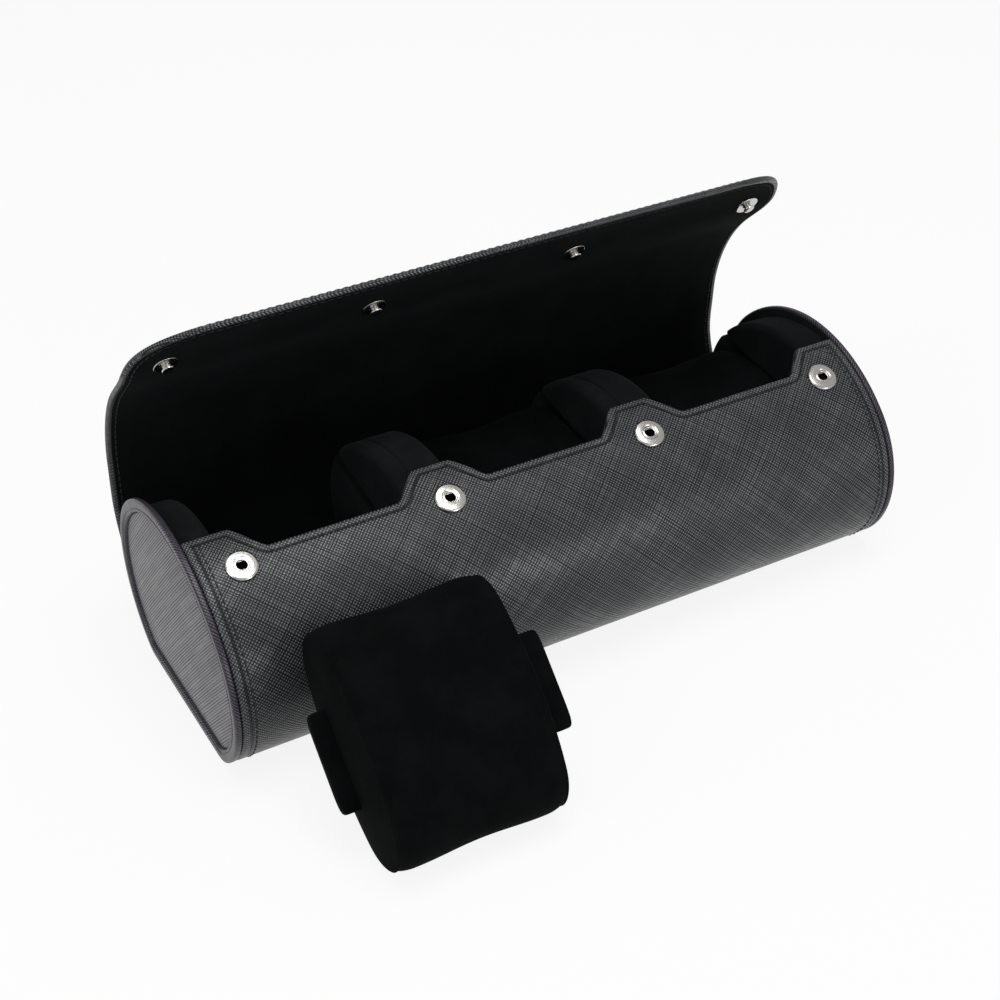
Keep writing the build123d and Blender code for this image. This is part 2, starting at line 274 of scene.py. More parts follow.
def run_length(points: np.ndarray) -> np.ndarray:
    """Length along a polyline up to each of its points."""
    steps = np.linalg.norm(np.diff(points, axis=0), axis=1)
    return np.concatenate([[0.0], np.cumsum(steps)])


def resampled(points: np.ndarray, step: float) -> np.ndarray:
    """A polyline with its points moved to an even spacing near step."""
    s = run_length(points)
    even = np.linspace(0, s[-1], max(int(round(s[-1] / step)) + 1, 2))
    return np.stack([np.interp(even, s, points[:, k]) for k in range(points.shape[1])], -1)


def smoothstep(t: np.ndarray | float) -> np.ndarray:
    """3t² − 2t³ with t held between 0 and 1."""
    t = np.clip(t, 0, 1)
    return t * t * (3 - 2 * t)


def hill(x: np.ndarray, centre: float, width: float) -> np.ndarray:
    """Smooth bump of height 1: exp(−((x − centre) / width)²)."""
    return np.exp(-(((x - centre) / width) ** 2))


def averaged(values: np.ndarray, reach: int, beyond: str) -> np.ndarray:
    """Values smoothed by a Hann window over reach steps to either side.

    Args:
        values: Evenly spaced values.
        reach: Half width of the window, in steps.
        beyond: How numpy's pad continues them past their ends.

    Returns:
        As many smoothed values.
    """
    window = np.hanning(2 * reach + 3)[1:-1]
    return np.convolve(np.pad(values, reach, mode=beyond), window / window.sum(), mode="valid")


def rounded_bend(yz: np.ndarray, s: np.ndarray, low: float, high: float) -> np.ndarray:
    """A path whose sharp bend gives way to a Hermite curve between its two tangents.

    Args:
        yz: The path's points.
        s: Their lengths along it.
        low: Length where the curve starts.
        high: Length where it ends.

    Returns:
        The path with the bend rounded.
    """
    inside = (s > low) & (s < high)
    first, last = np.flatnonzero(inside)[[0, -1]]
    start, end = yz[first], yz[last]
    ahead = yz[first] - yz[first - 1]
    onward = yz[last + 1] - yz[last]
    span = s[last] - s[first]
    t = ((s[inside] - s[first]) / span)[:, None]
    out = yz.copy()
    out[inside] = (
        (2 * t**3 - 3 * t**2 + 1) * start
        + (t**3 - 2 * t**2 + t) * span * ahead / np.linalg.norm(ahead)
        + (3 * t**2 - 2 * t**3) * end
        + (t**3 - t**2) * span * onward / np.linalg.norm(onward)
    )
    return out


class SheetPath:
    """The outer face of a bent sheet as a curve in the (y, z) plane, read by length along it."""

    def __init__(self, points: np.ndarray) -> None:
        """Keeps the curve's points and works out its lengths and outward normals."""
        self.points = points
        self.s = run_length(points)
        tangent = np.gradient(points, self.s, axis=0)
        tangent /= np.linalg.norm(tangent, axis=1, keepdims=True)
        self.normals = np.stack([tangent[:, 1], -tangent[:, 0]], -1)

    def at(self, s: np.ndarray) -> tuple[np.ndarray, np.ndarray]:
        """The curve's points and outward unit normals at lengths s.

        Args:
            s: Lengths along the curve, of any shape.

        Returns:
            Points and normals, each with a last axis of 2.
        """
        point = np.stack([np.interp(s, self.s, self.points[:, k]) for k in (0, 1)], -1)
        normal = np.stack([np.interp(s, self.s, self.normals[:, k]) for k in (0, 1)], -1)
        return point, normal / np.linalg.norm(normal, axis=-1, keepdims=True)


class CaseSection:
    """The case's D section, and the route of its wrap and open flap."""

    def __init__(self, sizes: CaseSizes) -> None:
        """Keeps the sizes and the arcs' centres."""
        self.sizes = sizes
        self.front = (-sizes.side_y, sizes.spring_height)
        self.back = (sizes.side_y, sizes.spring_height)
        self.crown = (0.0, sizes.crown_z)

    def outline(self, step: float = 1.6) -> tuple[np.ndarray, np.ndarray]:
        """The closed D, anticlockwise from the middle of the floor.

        Args:
            step: Spacing of its points.

        Returns:
            Its points and their outward unit normals.
        """
        z = self.sizes

        def arc(centre: Sequence[float], radius: float, start: float, end: float) -> tuple:
            """Points and normals along one arc without its last."""
            count = max(int(abs(math.radians(end - start)) * radius / step), 4)
            angle = np.linspace(start, end, count, endpoint=False)
            return polar(centre, radius, angle), polar((0, 0), 1.0, angle)

        floor = np.stack([np.linspace(0, z.foot_y, 16, endpoint=False), np.zeros(16)], -1)
        right = [
            (floor, np.broadcast_to([0.0, -1.0], floor.shape)),
            arc((z.foot_y, z.foot_radius), z.foot_radius, -90, z.foot_angle),
            arc(self.back, z.side_radius, z.foot_angle, z.shoulder_angle),
            arc(self.crown, z.crown_radius, z.shoulder_angle, 90),
        ]
        points = np.concatenate([part[0] for part in right])
        normals = np.concatenate([part[1] for part in right])
        top = np.array([[0.0, z.spring_height + z.crown_height]])
        mirrored = (-1, 1)
        return (
            np.concatenate([points, top, points[1:][::-1] * mirrored]),
            np.concatenate([normals, [[0.0, 1.0]], normals[1:][::-1] * mirrored]),
        )

    def base_path(self) -> SheetPath:
        """Outer face from the tabs' tips, down the front, under the case and up to the hinge."""
        z = self.sizes
        tip = math.degrees(math.acos((z.front_edge_y + z.tab_reach) / z.crown_radius))
        shoulder, foot = z.shoulder_angle, z.foot_angle
        front_foot, back_foot = (-z.foot_y, z.foot_radius), (z.foot_y, z.foot_radius)
        crown, down, under, along, up = (
            polar(centre, radius, np.linspace(start, end, count))
            for centre, radius, start, end, count in (
                (self.crown, z.crown_radius, tip, 180 - shoulder, 60),
                (self.front, z.side_radius, 180 - shoulder, 180 - foot, 90),
                (front_foot, z.foot_radius, 180 - foot, 270, 24),
                (back_foot, z.foot_radius, 270, 360 + foot, 24),
                (self.back, z.side_radius, foot, z.hinge_angle, 24),
            )
        )
        joined = np.concatenate([crown, down[1:], under[1:], along, up[1:]])
        return SheetPath(resampled(joined, 0.25))

    def pivots(self) -> tuple[np.ndarray, np.ndarray, np.ndarray]:
        """The closed flap's creases in (y, z): back hinge, lid crease and lip crease."""
        z = self.sizes
        angles = np.array([z.hinge_angle, z.shoulder_angle])
        hinge, shoulder = polar(self.back, z.side_radius, angles)
        return hinge, shoulder, self.lip_arc(1)[0]

    def lip_arc(self, count: int) -> np.ndarray:
        """The closed lip's outer face from its crease to its free edge."""
        z = self.sizes
        radius = z.crown_radius + z.snap_lift
        start = z.snap_angle - math.degrees(z.lip_crease / radius)
        end = z.snap_angle + math.degrees(z.lip_overhang / radius)
        return polar(self.crown, radius, np.linspace(start, end, count))

    def flap_path(self, lead: float, reaches: Sequence[float]) -> tuple[SheetPath, list[float]]:
        """Outer face of the open flap, from a lead before the back hinge to the lip's free edge.

        The closed flap's arcs open by three turns, each about its crease. At the back hinge
        and the lid crease a point turns by smoothstep((s − s₀ + r) / 2r) of the angle, so a
        crease s₀ bends over a reach r to either side, as the skin does when it closes again.
        The lip turns as a whole, and a Hermite curve rounds its bend.

        Args:
            lead: How far the path starts before the back hinge.
            reaches: Each crease's reach.

        Returns:
            The path, and the creases' lengths along it.
        """
        z = self.sizes
        hinge, shoulder, lip = self.pivots()
        radial = polar((0, 0), 1.0, z.shoulder_angle)
        chord = lip - shoulder
        lid_radius = -float(chord @ chord) / (2 * float(chord @ radial))
        lid_centre = shoulder - lid_radius * radial
        lid_end = math.degrees(math.atan2(lip[1] - lid_centre[1], lip[0] - lid_centre[0]))
        before = z.hinge_angle - math.degrees(lead / z.side_radius)
        closed = [
            polar(self.back, z.side_radius, np.linspace(before, z.shoulder_angle, 150)),
            polar(lid_centre, lid_radius, np.linspace(z.shoulder_angle, lid_end, 160))[1:],
            self.lip_arc(90)[1:],
        ]
        yz = resampled(np.concatenate(closed), 0.2)
        s = run_length(yz)
        at = [
            float(s[np.argmin(np.linalg.norm(yz - pivot, axis=1))])
            for pivot in (hinge, shoulder, lip)
        ]
        yz = turned_about(yz, lip, -z.lip_open * (s > at[2]))
        yz = rounded_bend(yz, s, at[2] - z.lip_bend_lead, at[2] + reaches[2])
        for pivot, angle, k in ((shoulder, z.lid_open, 1), (hinge, z.back_open, 0)):
            share = smoothstep((s - at[k] + reaches[k]) / (2 * reaches[k]))
            yz = turned_about(yz, pivot, -angle * share)
        return SheetPath(yz), [float(np.interp(a, s, run_length(yz))) for a in at]

    def at_snaps(self, shape: "Surface") -> "Surface":
        """Copies of a shape, built about Z, standing on the front wall at the four snaps."""
        z = self.sizes
        place = polar(self.crown, z.crown_radius, z.snap_angle)
        turn = about_x(z.snap_angle - 90)
        return all_joined([moved(shape, turn, (x, *place)) for x in z.snap_places])

    def opened(self, points: np.ndarray) -> np.ndarray:
        """Points of the closed lip, carried to where the open lip has them."""
        z = self.sizes
        yz = points[:, 1:]
        for pivot, angle in zip(self.pivots()[::-1], (z.lip_open, z.lid_open, z.back_open)):
            yz = turned_about(yz, pivot, -angle)
        return np.concatenate([points[:, :1], yz], 1)


# ---- meshes --------------------------------------------------------------------------------
@dataclass
class Surface:
    """Arrays of one mesh: points in millimetres, faces, and the pattern's own coordinates."""

    points: np.ndarray
    quads: np.ndarray
    triangles: np.ndarray = field(default_factory=lambda: np.zeros((0, 3), int))
    pattern: Optional[np.ndarray] = None
    edge: Optional[np.ndarray] = None


def all_joined(surfaces: Sequence[Surface]) -> Surface:
    """Several surfaces as one, with the coordinates that all of them have."""
    starts = np.cumsum([0] + [len(one.points) for one in surfaces[:-1]])

    def shared(values: list[Optional[np.ndarray]]) -> Optional[np.ndarray]:
        """Arrays end to end, where all are there."""
        return None if any(value is None for value in values) else np.concatenate(values)

    return Surface(
        np.concatenate([one.points for one in surfaces]),
        np.concatenate([one.quads + start for one, start in zip(surfaces, starts)]),
        np.concatenate([one.triangles + start for one, start in zip(surfaces, starts)]),
        shared([one.pattern for one in surfaces]),
        shared([one.edge for one in surfaces]),
    )


def grid_quads(rows: int, columns: int, closed: bool) -> np.ndarray:
    """Quads of a grid of points held row by row.

    Args:
        rows: Number of rows.
        columns: Number of points in a row.
        closed: Whether each row is a loop.

    Returns:
        Point numbers, four to a quad.
    """
    across = np.arange(columns if closed else columns - 1)
    first = np.arange(rows - 1)[:, None] * columns
    a = first + across
    b = first + (across + 1) % columns
    return np.stack([a, b, b + columns, a + columns], -1).reshape(-1, 4)


def closed_rings(rings: np.ndarray, low_pole: np.ndarray, high_pole: np.ndarray) -> Surface:
    """Closed surface through loops of equal length, with a pole at each end.

    Args:
        rings: Points by ring, place in the ring and axis.
        low_pole: Point that closes the first ring.
        high_pole: Point that closes the last ring.

    Returns:
        The closed surface.
    """
    rows, count = rings.shape[:2]
    points = np.concatenate([rings.reshape(-1, 3), low_pole[None, :], high_pole[None, :]])
    k = np.arange(count)
    low = np.stack([np.full(count, rows * count), (k + 1) % count, k], -1)
    top = (rows - 1) * count
    high = np.stack([np.full(count, rows * count + 1), top + k, top + (k + 1) % count], -1)
    return Surface(points, grid_quads(rows, count, True), np.concatenate([low, high]))


def signed_volume(surface: Surface) -> float:
    """Volume inside a closed surface, negative where its faces point inwards."""
    p, q = surface.points, surface.quads
    triangles = np.concatenate([q[:, [0, 1, 2]], q[:, [0, 2, 3]], surface.triangles])
    a, b, c = (p[triangles[:, k]] for k in range(3))
    return float(np.einsum("ij,ij->", a, np.cross(b, c)) / 6)


def make_object(name: str, surface: Surface, smooth_angle: float = 50.0) -> bpy.types.Object:
    """A named mesh object from a closed surface, smooth but for its sharper edges.

    Args:
        name: The piece's name.
        surface: Its arrays.
        smooth_angle: Edges that turn more than this, in degrees, stay sharp.

    Returns:
        The new object, linked to the scene.
    """
    turn = -1 if signed_volume(surface) < 0 else 1
    quads, triangles = surface.quads[:, ::turn], surface.triangles[:, ::turn]
    corners = np.concatenate([quads.ravel(), triangles.ravel()]).astype(np.int32)
    sides = np.concatenate([np.full(len(quads), 4), np.full(len(triangles), 3)])
    starts = np.concatenate([[0], np.cumsum(sides)[:-1]]).astype(np.int32)
    mesh = bpy.data.meshes.new(name)
    mesh.vertices.add(len(surface.points))
    mesh.vertices.foreach_set("co", (surface.points * MM).astype(np.float32).ravel())
    mesh.loops.add(len(corners))
    mesh.loops.foreach_set("vertex_index", corners)
    mesh.polygons.add(len(sides))
    mesh.polygons.foreach_set("loop_start", starts)
    mesh.update(calc_edges=True)
    if surface.pattern is not None:
        layer = mesh.uv_layers.new(name="pattern")
        layer.data.foreach_set("uv", (surface.pattern[corners] * MM).astype(np.float32).ravel())
    if surface.edge is not None:
        attribute = mesh.attributes.new("edge", "FLOAT", "POINT")
        attribute.data.foreach_set("value", (surface.edge * MM).astype(np.float32))
    made = bpy.data.objects.new(name, mesh)
    bpy.context.scene.collection.objects.link(made)
    shade_smooth(mesh, smooth_angle)
    return made


def shade_smooth(mesh: bpy.types.Mesh, smooth_angle: float) -> None:
    """Smooth faces, with sharp edges where two faces turn more than an angle in degrees."""
    faces, corners, edges = len(mesh.polygons), len(mesh.loops), len(mesh.edges)
    normals = np.zeros(faces * 3)
    mesh.polygons.foreach_get("normal", normals)
    totals = np.zeros(faces, int)
    mesh.polygons.foreach_get("loop_total", totals)
    edge_of = np.zeros(corners, int)
    mesh.loops.foreach_get("edge_index", edge_of)
    face_of = np.repeat(np.arange(faces), totals)
    order = np.argsort(edge_of, kind="stable")
    first = np.searchsorted(edge_of[order], np.arange(edges))
    last = np.searchsorted(edge_of[order], np.arange(edges), side="right") - 1
    n = normals.reshape(-1, 3)
    cosine = np.einsum("ij,ij->i", n[face_of[order][first]], n[face_of[order][last]])
    sharp = cosine < math.cos(math.radians(smooth_angle))
    mesh.polygons.foreach_set("use_smooth", np.ones(faces, bool))
    mesh.edges.foreach_set("use_edge_sharp", sharp)


def cut(made: bpy.types.Object, cutters: Sequence[Surface], smooth_angle: float = 40.0) -> None:
    """Cuts closed surfaces out of a piece and applies the result.

    Args:
        made: The piece that is cut.
        cutters: Closed surfaces, which may not touch each other.
        smooth_angle: Edges that turn more than this, in degrees, stay sharp.
    """
    tool = make_object(made.name + "_cutter", all_joined(cutters))
    modifier = made.modifiers.new("cut", "BOOLEAN")
    modifier.operation = "DIFFERENCE"
    modifier.solver = "EXACT"
    modifier.object = tool
    bpy.context.view_layer.update()
    graph = bpy.context.evaluated_depsgraph_get()
    mesh = bpy.data.meshes.new_from_object(made.evaluated_get(graph))
    made.modifiers.clear()
    old, made.data = made.data, mesh
    mesh.name = made.name
    bpy.data.meshes.remove(old)
    bpy.data.objects.remove(tool)
    shade_smooth(mesh, smooth_angle)


def rounded_box(
    centre: Sequence[float], half: Sequence[float], power: float, count: int
) -> Surface:
    """Closed soft box: |x/a|^p + |y/b|^p + |z/c|^p = 1, on a grid of latitudes and longitudes.

    Args:
        centre: Its middle.
        half: Its half sizes.
        power: How square it is, 2 being an ellipsoid.
        count: Points round its equator.

    Returns:
        The closed surface.
    """
    latitude = np.linspace(-math.pi / 2, math.pi / 2, count // 2 + 1)[1:-1]
    longitude = np.linspace(0, 2 * math.pi, count, endpoint=False)

    def squared(v: np.ndarray) -> np.ndarray:
        """Sign-keeping power 2/p of a sine or cosine."""
        return np.sign(v) * np.abs(v) ** (2 / power)

    ring = squared(np.cos(latitude))[:, None]
    x = half[0] * squared(np.cos(longitude)) * ring
    y = half[1] * squared(np.sin(longitude)) * ring
    z = half[2] * squared(np.sin(latitude))[:, None] * np.ones_like(ring) * np.ones(count)
    pole = np.array([0, 0, half[2]])
    made = closed_rings(np.stack([x, y, z], -1), -pole, pole)
    made.points += np.asarray(centre)
    return made


def moved(surface: Surface, turn: np.ndarray, shift: Sequence[float]) -> Surface:
    """A surface turned by a 3×3 matrix and shifted."""
    return replace(surface, points=surface.points @ turn.T + np.asarray(shift))


def about_x(degrees: float) -> np.ndarray:
    """Matrix that turns about X by an angle in degrees."""
    c, s = math.cos(math.radians(degrees)), math.sin(math.radians(degrees))
    return np.array([[1, 0, 0], [0, c, -s], [0, s, c]])


def revolved(profile: np.ndarray, count: int = 48) -> Surface:
    """Closed profile of (radius, height) points turned about Z.

    Args:
        profile: The closed outline. Points at radius 0 make a pole.
        count: Steps round the axis.

    Returns:
        The closed surface.
    """
    angle = np.linspace(0, 2 * math.pi, count, endpoint=False)
    radius, height = profile[:, 0], profile[:, 1]
    x = radius[None, :] * np.cos(angle)[:, None]
    y = radius[None, :] * np.sin(angle)[:, None]
    z = np.broadcast_to(height[None, :], x.shape)
    points = np.stack([x, y, z], -1).reshape(-1, 3)
    loops = grid_quads(count + 1, len(profile), True) % len(points)
    return Surface(points, loops)


# ---- shader maths --------------------------------------------------------------------------
class Socket:
    """One output socket of a material's nodes, with arithmetic that adds Math nodes."""

    def __init__(self, graph: "Graph", socket: bpy.types.NodeSocket) -> None:
        """Keeps the graph and the socket."""
        self.graph = graph
        self.socket = socket

    def _math(self, operation: str, *inputs: "Socket | float") -> "Socket":
        """A Math node on these inputs."""
        return self.graph.node("ShaderNodeMath", {"operation": operation}, dict(enumerate(inputs)))

    def __add__(self, other: "Socket | float") -> "Socket":
        """Sum."""
        return self._math("ADD", self, other)

    def __radd__(self, other: float) -> "Socket":
        """Sum with a number first."""
        return self._math("ADD", other, self)

    def __sub__(self, other: "Socket | float") -> "Socket":
        """Difference."""
        return self._math("SUBTRACT", self, other)

    def __rsub__(self, other: float) -> "Socket":
        """Difference from a number."""
        return self._math("SUBTRACT", other, self)

    def __mul__(self, other: "Socket | float") -> "Socket":
        """Product."""
        return self._math("MULTIPLY", self, other)

    def __truediv__(self, other: "Socket | float") -> "Socket":
        """Quotient."""
        return self._math("DIVIDE", self, other)

    def __pow__(self, other: "Socket | float") -> "Socket":
        """Power."""
        return self._math("POWER", self, other)

    def sine(self) -> "Socket":
        """Sine of an angle in radians."""
        return self._math("SINE", self)

    def size(self) -> "Socket":
        """Absolute value."""
        return self._math("ABSOLUTE", self)

    def most(self, other: "Socket | float") -> "Socket":
        """The larger of two."""
        return self._math("MAXIMUM", self, other)

    def ramp(self, low: float, high: float, start: float = 0.0, end: float = 1.0) -> "Socket":
        """Smooth change from start to end as this goes from low to high."""
        settings = {"interpolation_type": "SMOOTHSTEP"}
        inputs = {0: self, 1: low, 2: high, 3: start, 4: end}
        return self.graph.node("ShaderNodeMapRange", settings, inputs)


class Graph:
    """The node tree of one material."""

    def __init__(self, name: str) -> None:
        """Makes an empty material of that name."""
        self.material = bpy.data.materials.new(name)
        self.material.use_nodes = True
        self.tree = self.material.node_tree
        self.tree.nodes.clear()

    def raw(
        self, kind: str, settings: Optional[dict] = None, inputs: Optional[dict] = None
    ) -> bpy.types.Node:
        """Adds a node.

        Args:
            kind: The node's type.
            settings: Its properties.
            inputs: Values or sockets for its inputs, by name or number.

        Returns:
            The node.
        """
        made = self.tree.nodes.new(kind)
        for key, value in (settings or {}).items():
            setattr(made, key, value)
        for key, value in (inputs or {}).items():
            if isinstance(value, Socket):
                self.tree.links.new(value.socket, made.inputs[key])
            else:
                made.inputs[key].default_value = value
        return made

    def node(
        self,
        kind: str,
        settings: Optional[dict] = None,
        inputs: Optional[dict] = None,
        output: int | str = 0,
    ) -> Socket:
        """Adds a node and returns one of its outputs."""
        return Socket(self, self.raw(kind, settings, inputs).outputs[output])

    def split(self, vector: Socket) -> list[Socket]:
        """A vector's three numbers."""
        made = self.raw("ShaderNodeSeparateXYZ", None, {0: vector})
        return [Socket(self, output) for output in made.outputs]

    def noise(self, place: Socket, scale: float, detail: float = 2.0, rough: float = 0.5) -> Socket:
        """Noise from 0 to 1, with scale in cycles to the metre."""
        inputs = {"Vector": place, "Scale": scale, "Detail": detail, "Roughness": rough}
        return self.node("ShaderNodeTexNoise", {"noise_dimensions": "3D"}, inputs)

    def tint(self, share: Socket, low: Sequence[float], high: Sequence[float]) -> Socket:
        """Colour between two, by a share from 0 to 1."""
        inputs = {0: share, 6: (*low, 1), 7: (*high, 1)}
        return self.node("ShaderNodeMix", {"data_type": "RGBA"}, inputs, output=2)

    def bump(self, height: Socket, strength: float, distance: float) -> Socket:
        """Normal of a surface with that height, over a distance in metres."""
        inputs = {"Strength": strength, "Distance": distance, "Height": height}
        return self.node("ShaderNodeBump", None, inputs)

    def surface(self, inputs: dict[str, object]) -> Socket:
        """A principled shader with those inputs."""
        return self.node("ShaderNodeBsdfPrincipled", None, inputs)

    def finish(self, shader: Socket) -> bpy.types.Material:
        """Sends a shader to the material's output and returns the material."""
        self.raw("ShaderNodeOutputMaterial", None, {"Surface": shader})
        return self.material


class Place(Enum):
    """What a pattern is laid out on."""

    PATTERN = "pattern"
    OBJECT = "object"


def place_of(graph: Graph, place: Place) -> Socket:
    """The pattern's coordinates, in metres."""
    if place is Place.PATTERN:
        return graph.node("ShaderNodeUVMap", {"uv_map": "pattern"})
    return graph.node("ShaderNodeTexCoord", None, None, output="Object")


@dataclass(frozen=True)
class Leather:
    """Crosshatched, coated leather: small shiny squares between two families of pressed lines."""

    name: str
    valley: tuple[float, float, float]
    # the squares' tops: a painted highlight colour; valley is the leather's own colour
    top: tuple[float, float, float]
    pitch: float = 0.87
    depth: float = 0.075
    second_family: float = 1.0
    coat: float = 0.9
    roughness: float = 0.46
    stitch_inset: float = 3.0
    has_edge: bool = True

    def lines(self, g: Graph, across: Socket, along: Socket, seed: float) -> Socket:
        """One family of pressed lines, from 0 in a line to 1 between lines.

        It is 1 − d · (1 − (½ + ½ sin φ)^0.8), with φ = 2π · across / pitch + sway. Sway and
        the lines' depth d come from noise that is stretched along the lines.
        """
        squeezed = g.node("ShaderNodeCombineXYZ", None, {0: across, 1: along * 0.05, 2: seed})
        slow = g.node("ShaderNodeCombineXYZ", None, {0: across, 1: along * 0.035, 2: seed + 3.0})
        sway = g.noise(squeezed, 420.0, 1.0) * 5.0
        deep = g.noise(slow, 800.0, 1.0).ramp(0.25, 0.6, 0.55, 1.0)
        wave = (across * (2 * math.pi / (self.pitch * MM)) + sway).sine() * 0.5 + 0.5
        return 1 - deep * (1 - wave**0.8)

    def material(self) -> bpy.types.Material:
        """The leather's material.

        The squares are the product of the two families of lines at ±45°. They raise the
        surface and carry the coat, and their tops are lightened above the leather's own
        near-black as a painted highlight. A rolled hem and a groove follow the edge: the hem
        is lightened as a painted highlight and the groove darkened as painted shade.
        """
        g = Graph(self.name)
        at = place_of(g, Place.PATTERN)
        u, v, _ = g.split(at)
        rising, falling = (u + v) * math.sqrt(0.5), (u - v) * math.sqrt(0.5)
        first = self.lines(g, rising, falling, 0.0)
        second = self.lines(g, falling, rising, 7.0)
        squares = first * (1 - (1 - second) * self.second_family)
        clouds = g.noise(at, 55.0, 3.0)
        height = squares * self.depth + clouds * 0.3
        shine = squares * clouds.ramp(0.3, 0.7, 0.75, 1.0)
        # painted highlight: the squares' tops are lightened above the leather's own near-black
        painted_light = squares**2.0 * clouds.ramp(0.3, 0.75, 0.7, 1.0)
        if self.has_edge:
            stored = {"attribute_name": "edge"}
            edge = g.node("ShaderNodeAttribute", stored, None, output="Fac") / MM
            groove = 1 - (edge - self.stitch_inset).size().ramp(0.1, 0.75)
            hem = 1 - (edge - self.stitch_inset * 0.45).size().ramp(0.3, 1.5)
            height = height - groove * 0.22 + hem * 0.16
            shine = shine * (1 - groove * 0.85)
            # painted highlight on the rolled hem; painted shade in the stitch groove, which darkens
            # it to the near-black
            painted_light = (painted_light + hem * 0.06) * (1 - groove * 0.85)
        shader = g.surface(
            {
                "Base Color": g.tint(painted_light, self.valley, self.top),
                "Roughness": self.roughness - squares * 0.16,
                "Normal": g.bump(height, 0.9, MM),
                "Specular IOR Level": 0.14,
                "Coat Weight": shine * self.coat,
                "Coat Roughness": 0.3,
            },
        )
        return g.finish(shader)


@dataclass(frozen=True)
class Suede:
    """Short dark nap: two sizes of mottling and a faint sheen."""

    name: str
    colour: tuple[float, float, float]
    brushed: tuple[float, float, float]
    sheen: float = 0.12
    patch: float = 70.0
    nap: float = 2400.0

    def material(self) -> bpy.types.Material:
        """The suede's material, on Object coordinates."""
        g = Graph(self.name)
        at = place_of(g, Place.OBJECT)
        patches = g.noise(at, self.patch, 4.0, 0.6)
        fibres = g.noise(at, self.nap, 3.0, 0.7)
        share = patches.ramp(0.35, 0.7) * 0.6 + fibres * 0.4
        shader = g.surface(
            {
                "Base Color": g.tint(share, self.colour, self.brushed),
                "Roughness": 0.92 + fibres * 0.08,
                "Normal": g.bump(fibres, 0.6, 0.12 * MM),
                "Specular IOR Level": 0.04,
                "Sheen Weight": self.sheen,
                "Sheen Roughness": 0.45,
                "Sheen Tint": (0.72, 0.8, 0.84, 1),
            },
        )
        return g.finish(shader)


@dataclass(frozen=True)
class Nickel:
    """Polished nickel plate with fine handling marks."""

    name: str
    colour: tuple[float, float, float] = (0.62, 0.6, 0.565)
    roughness: float = 0.16

    def material(self) -> bpy.types.Material:
        """The plate's material."""
        g = Graph(self.name)
        at = place_of(g, Place.OBJECT)
        marks = g.noise(at, 1500.0, 3.0, 0.6)
        tone = g.tint(marks, tuple(c * 0.88 for c in self.colour), self.colour)
        rough = self.roughness + marks * 0.14
        return g.finish(g.surface({"Base Color": tone, "Metallic": 1.0, "Roughness": rough}))


@dataclass(frozen=True)
class Plain:
    """A matt stuff, such as board, foam or thread."""

    name: str
    dark: tuple[float, float, float]
    light: tuple[float, float, float]
    grain: float = 900.0
    roughness: float = 0.8
    relief: float = 0.1

    def material(self) -> bpy.types.Material:
        """The stuff's material, mottled by noise."""
        g = Graph(self.name)
        at = place_of(g, Place.OBJECT)
        speck = g.noise(at, self.grain, 4.0, 0.6)
        shader = g.surface(
            {
                "Base Color": g.tint(speck.ramp(0.3, 0.7), self.dark, self.light),
                "Roughness": self.roughness + speck * 0.1,
                "Normal": g.bump(speck, 0.5, self.relief * MM),
            },
        )
        return g.finish(shader)


Finish = Leather | Suede | Nickel | Plain


@dataclass(frozen=True)
class Finishes:
    """The case's finishes, each made once."""

    # the top colours are painted highlights on the squares' tops; the valley colours are the
    # leathers' own
    saffiano: Leather = Leather(
        "saffiano", (0.004, 0.0047, 0.0056), (0.165, 0.172, 0.182), coat=0.75
    )
    end_leather: Leather = Leather(
        "end_leather",
        (0.01, 0.0085, 0.0115),
        (0.097, 0.083, 0.108),
        pitch=0.82,
        depth=0.03,
        second_family=0.45,
        coat=0.6,
        has_edge=False,
    )
    lining: Suede = Suede("lining_suede", (0.0026, 0.0031, 0.0032), (0.0052, 0.006, 0.0062), 0.01)
    block: Suede = Suede("block_suede", (0.0036, 0.0043, 0.0045), (0.0085, 0.0098, 0.0102), 0.02)
    cushion: Suede = Suede(
        "cushion_suede", (0.001, 0.0012, 0.0013), (0.0032, 0.0037, 0.0039), 0.006
    )
    nickel: Nickel = Nickel("nickel")
    thread: Plain = Plain("thread", (0.002, 0.002, 0.0022), (0.006, 0.006, 0.0065), 3000.0, 0.75)
    board: Plain = Plain("greyboard", (0.3, 0.28, 0.25), (0.42, 0.39, 0.35))
    foam: Plain = Plain("foam", (0.66, 0.64, 0.59), (0.78, 0.76, 0.7), 1400.0, 0.95, 0.4)


class Paint:
    """Materials by finish, made when first asked for."""

    def __init__(self) -> None:
        """Starts with none made."""
        self.made: dict[str, bpy.types.Material] = {}

    def on(
        self, piece: bpy.types.Object, finish: Finish, slot: Optional[str] = None
    ) -> bpy.types.Object:
        """Puts a finish on a piece.

        Args:
            piece: The piece or CAD node.
            finish: One of the finish classes.
            slot: The record's material slot, where the piece is a new one. It is not used.

        Returns:
            The piece.
        """
        name = finish.name
        if name not in self.made:
            self.made[name] = finish.material()
        piece.data.materials.clear()
        piece.data.materials.append(self.made[name])
        return piece


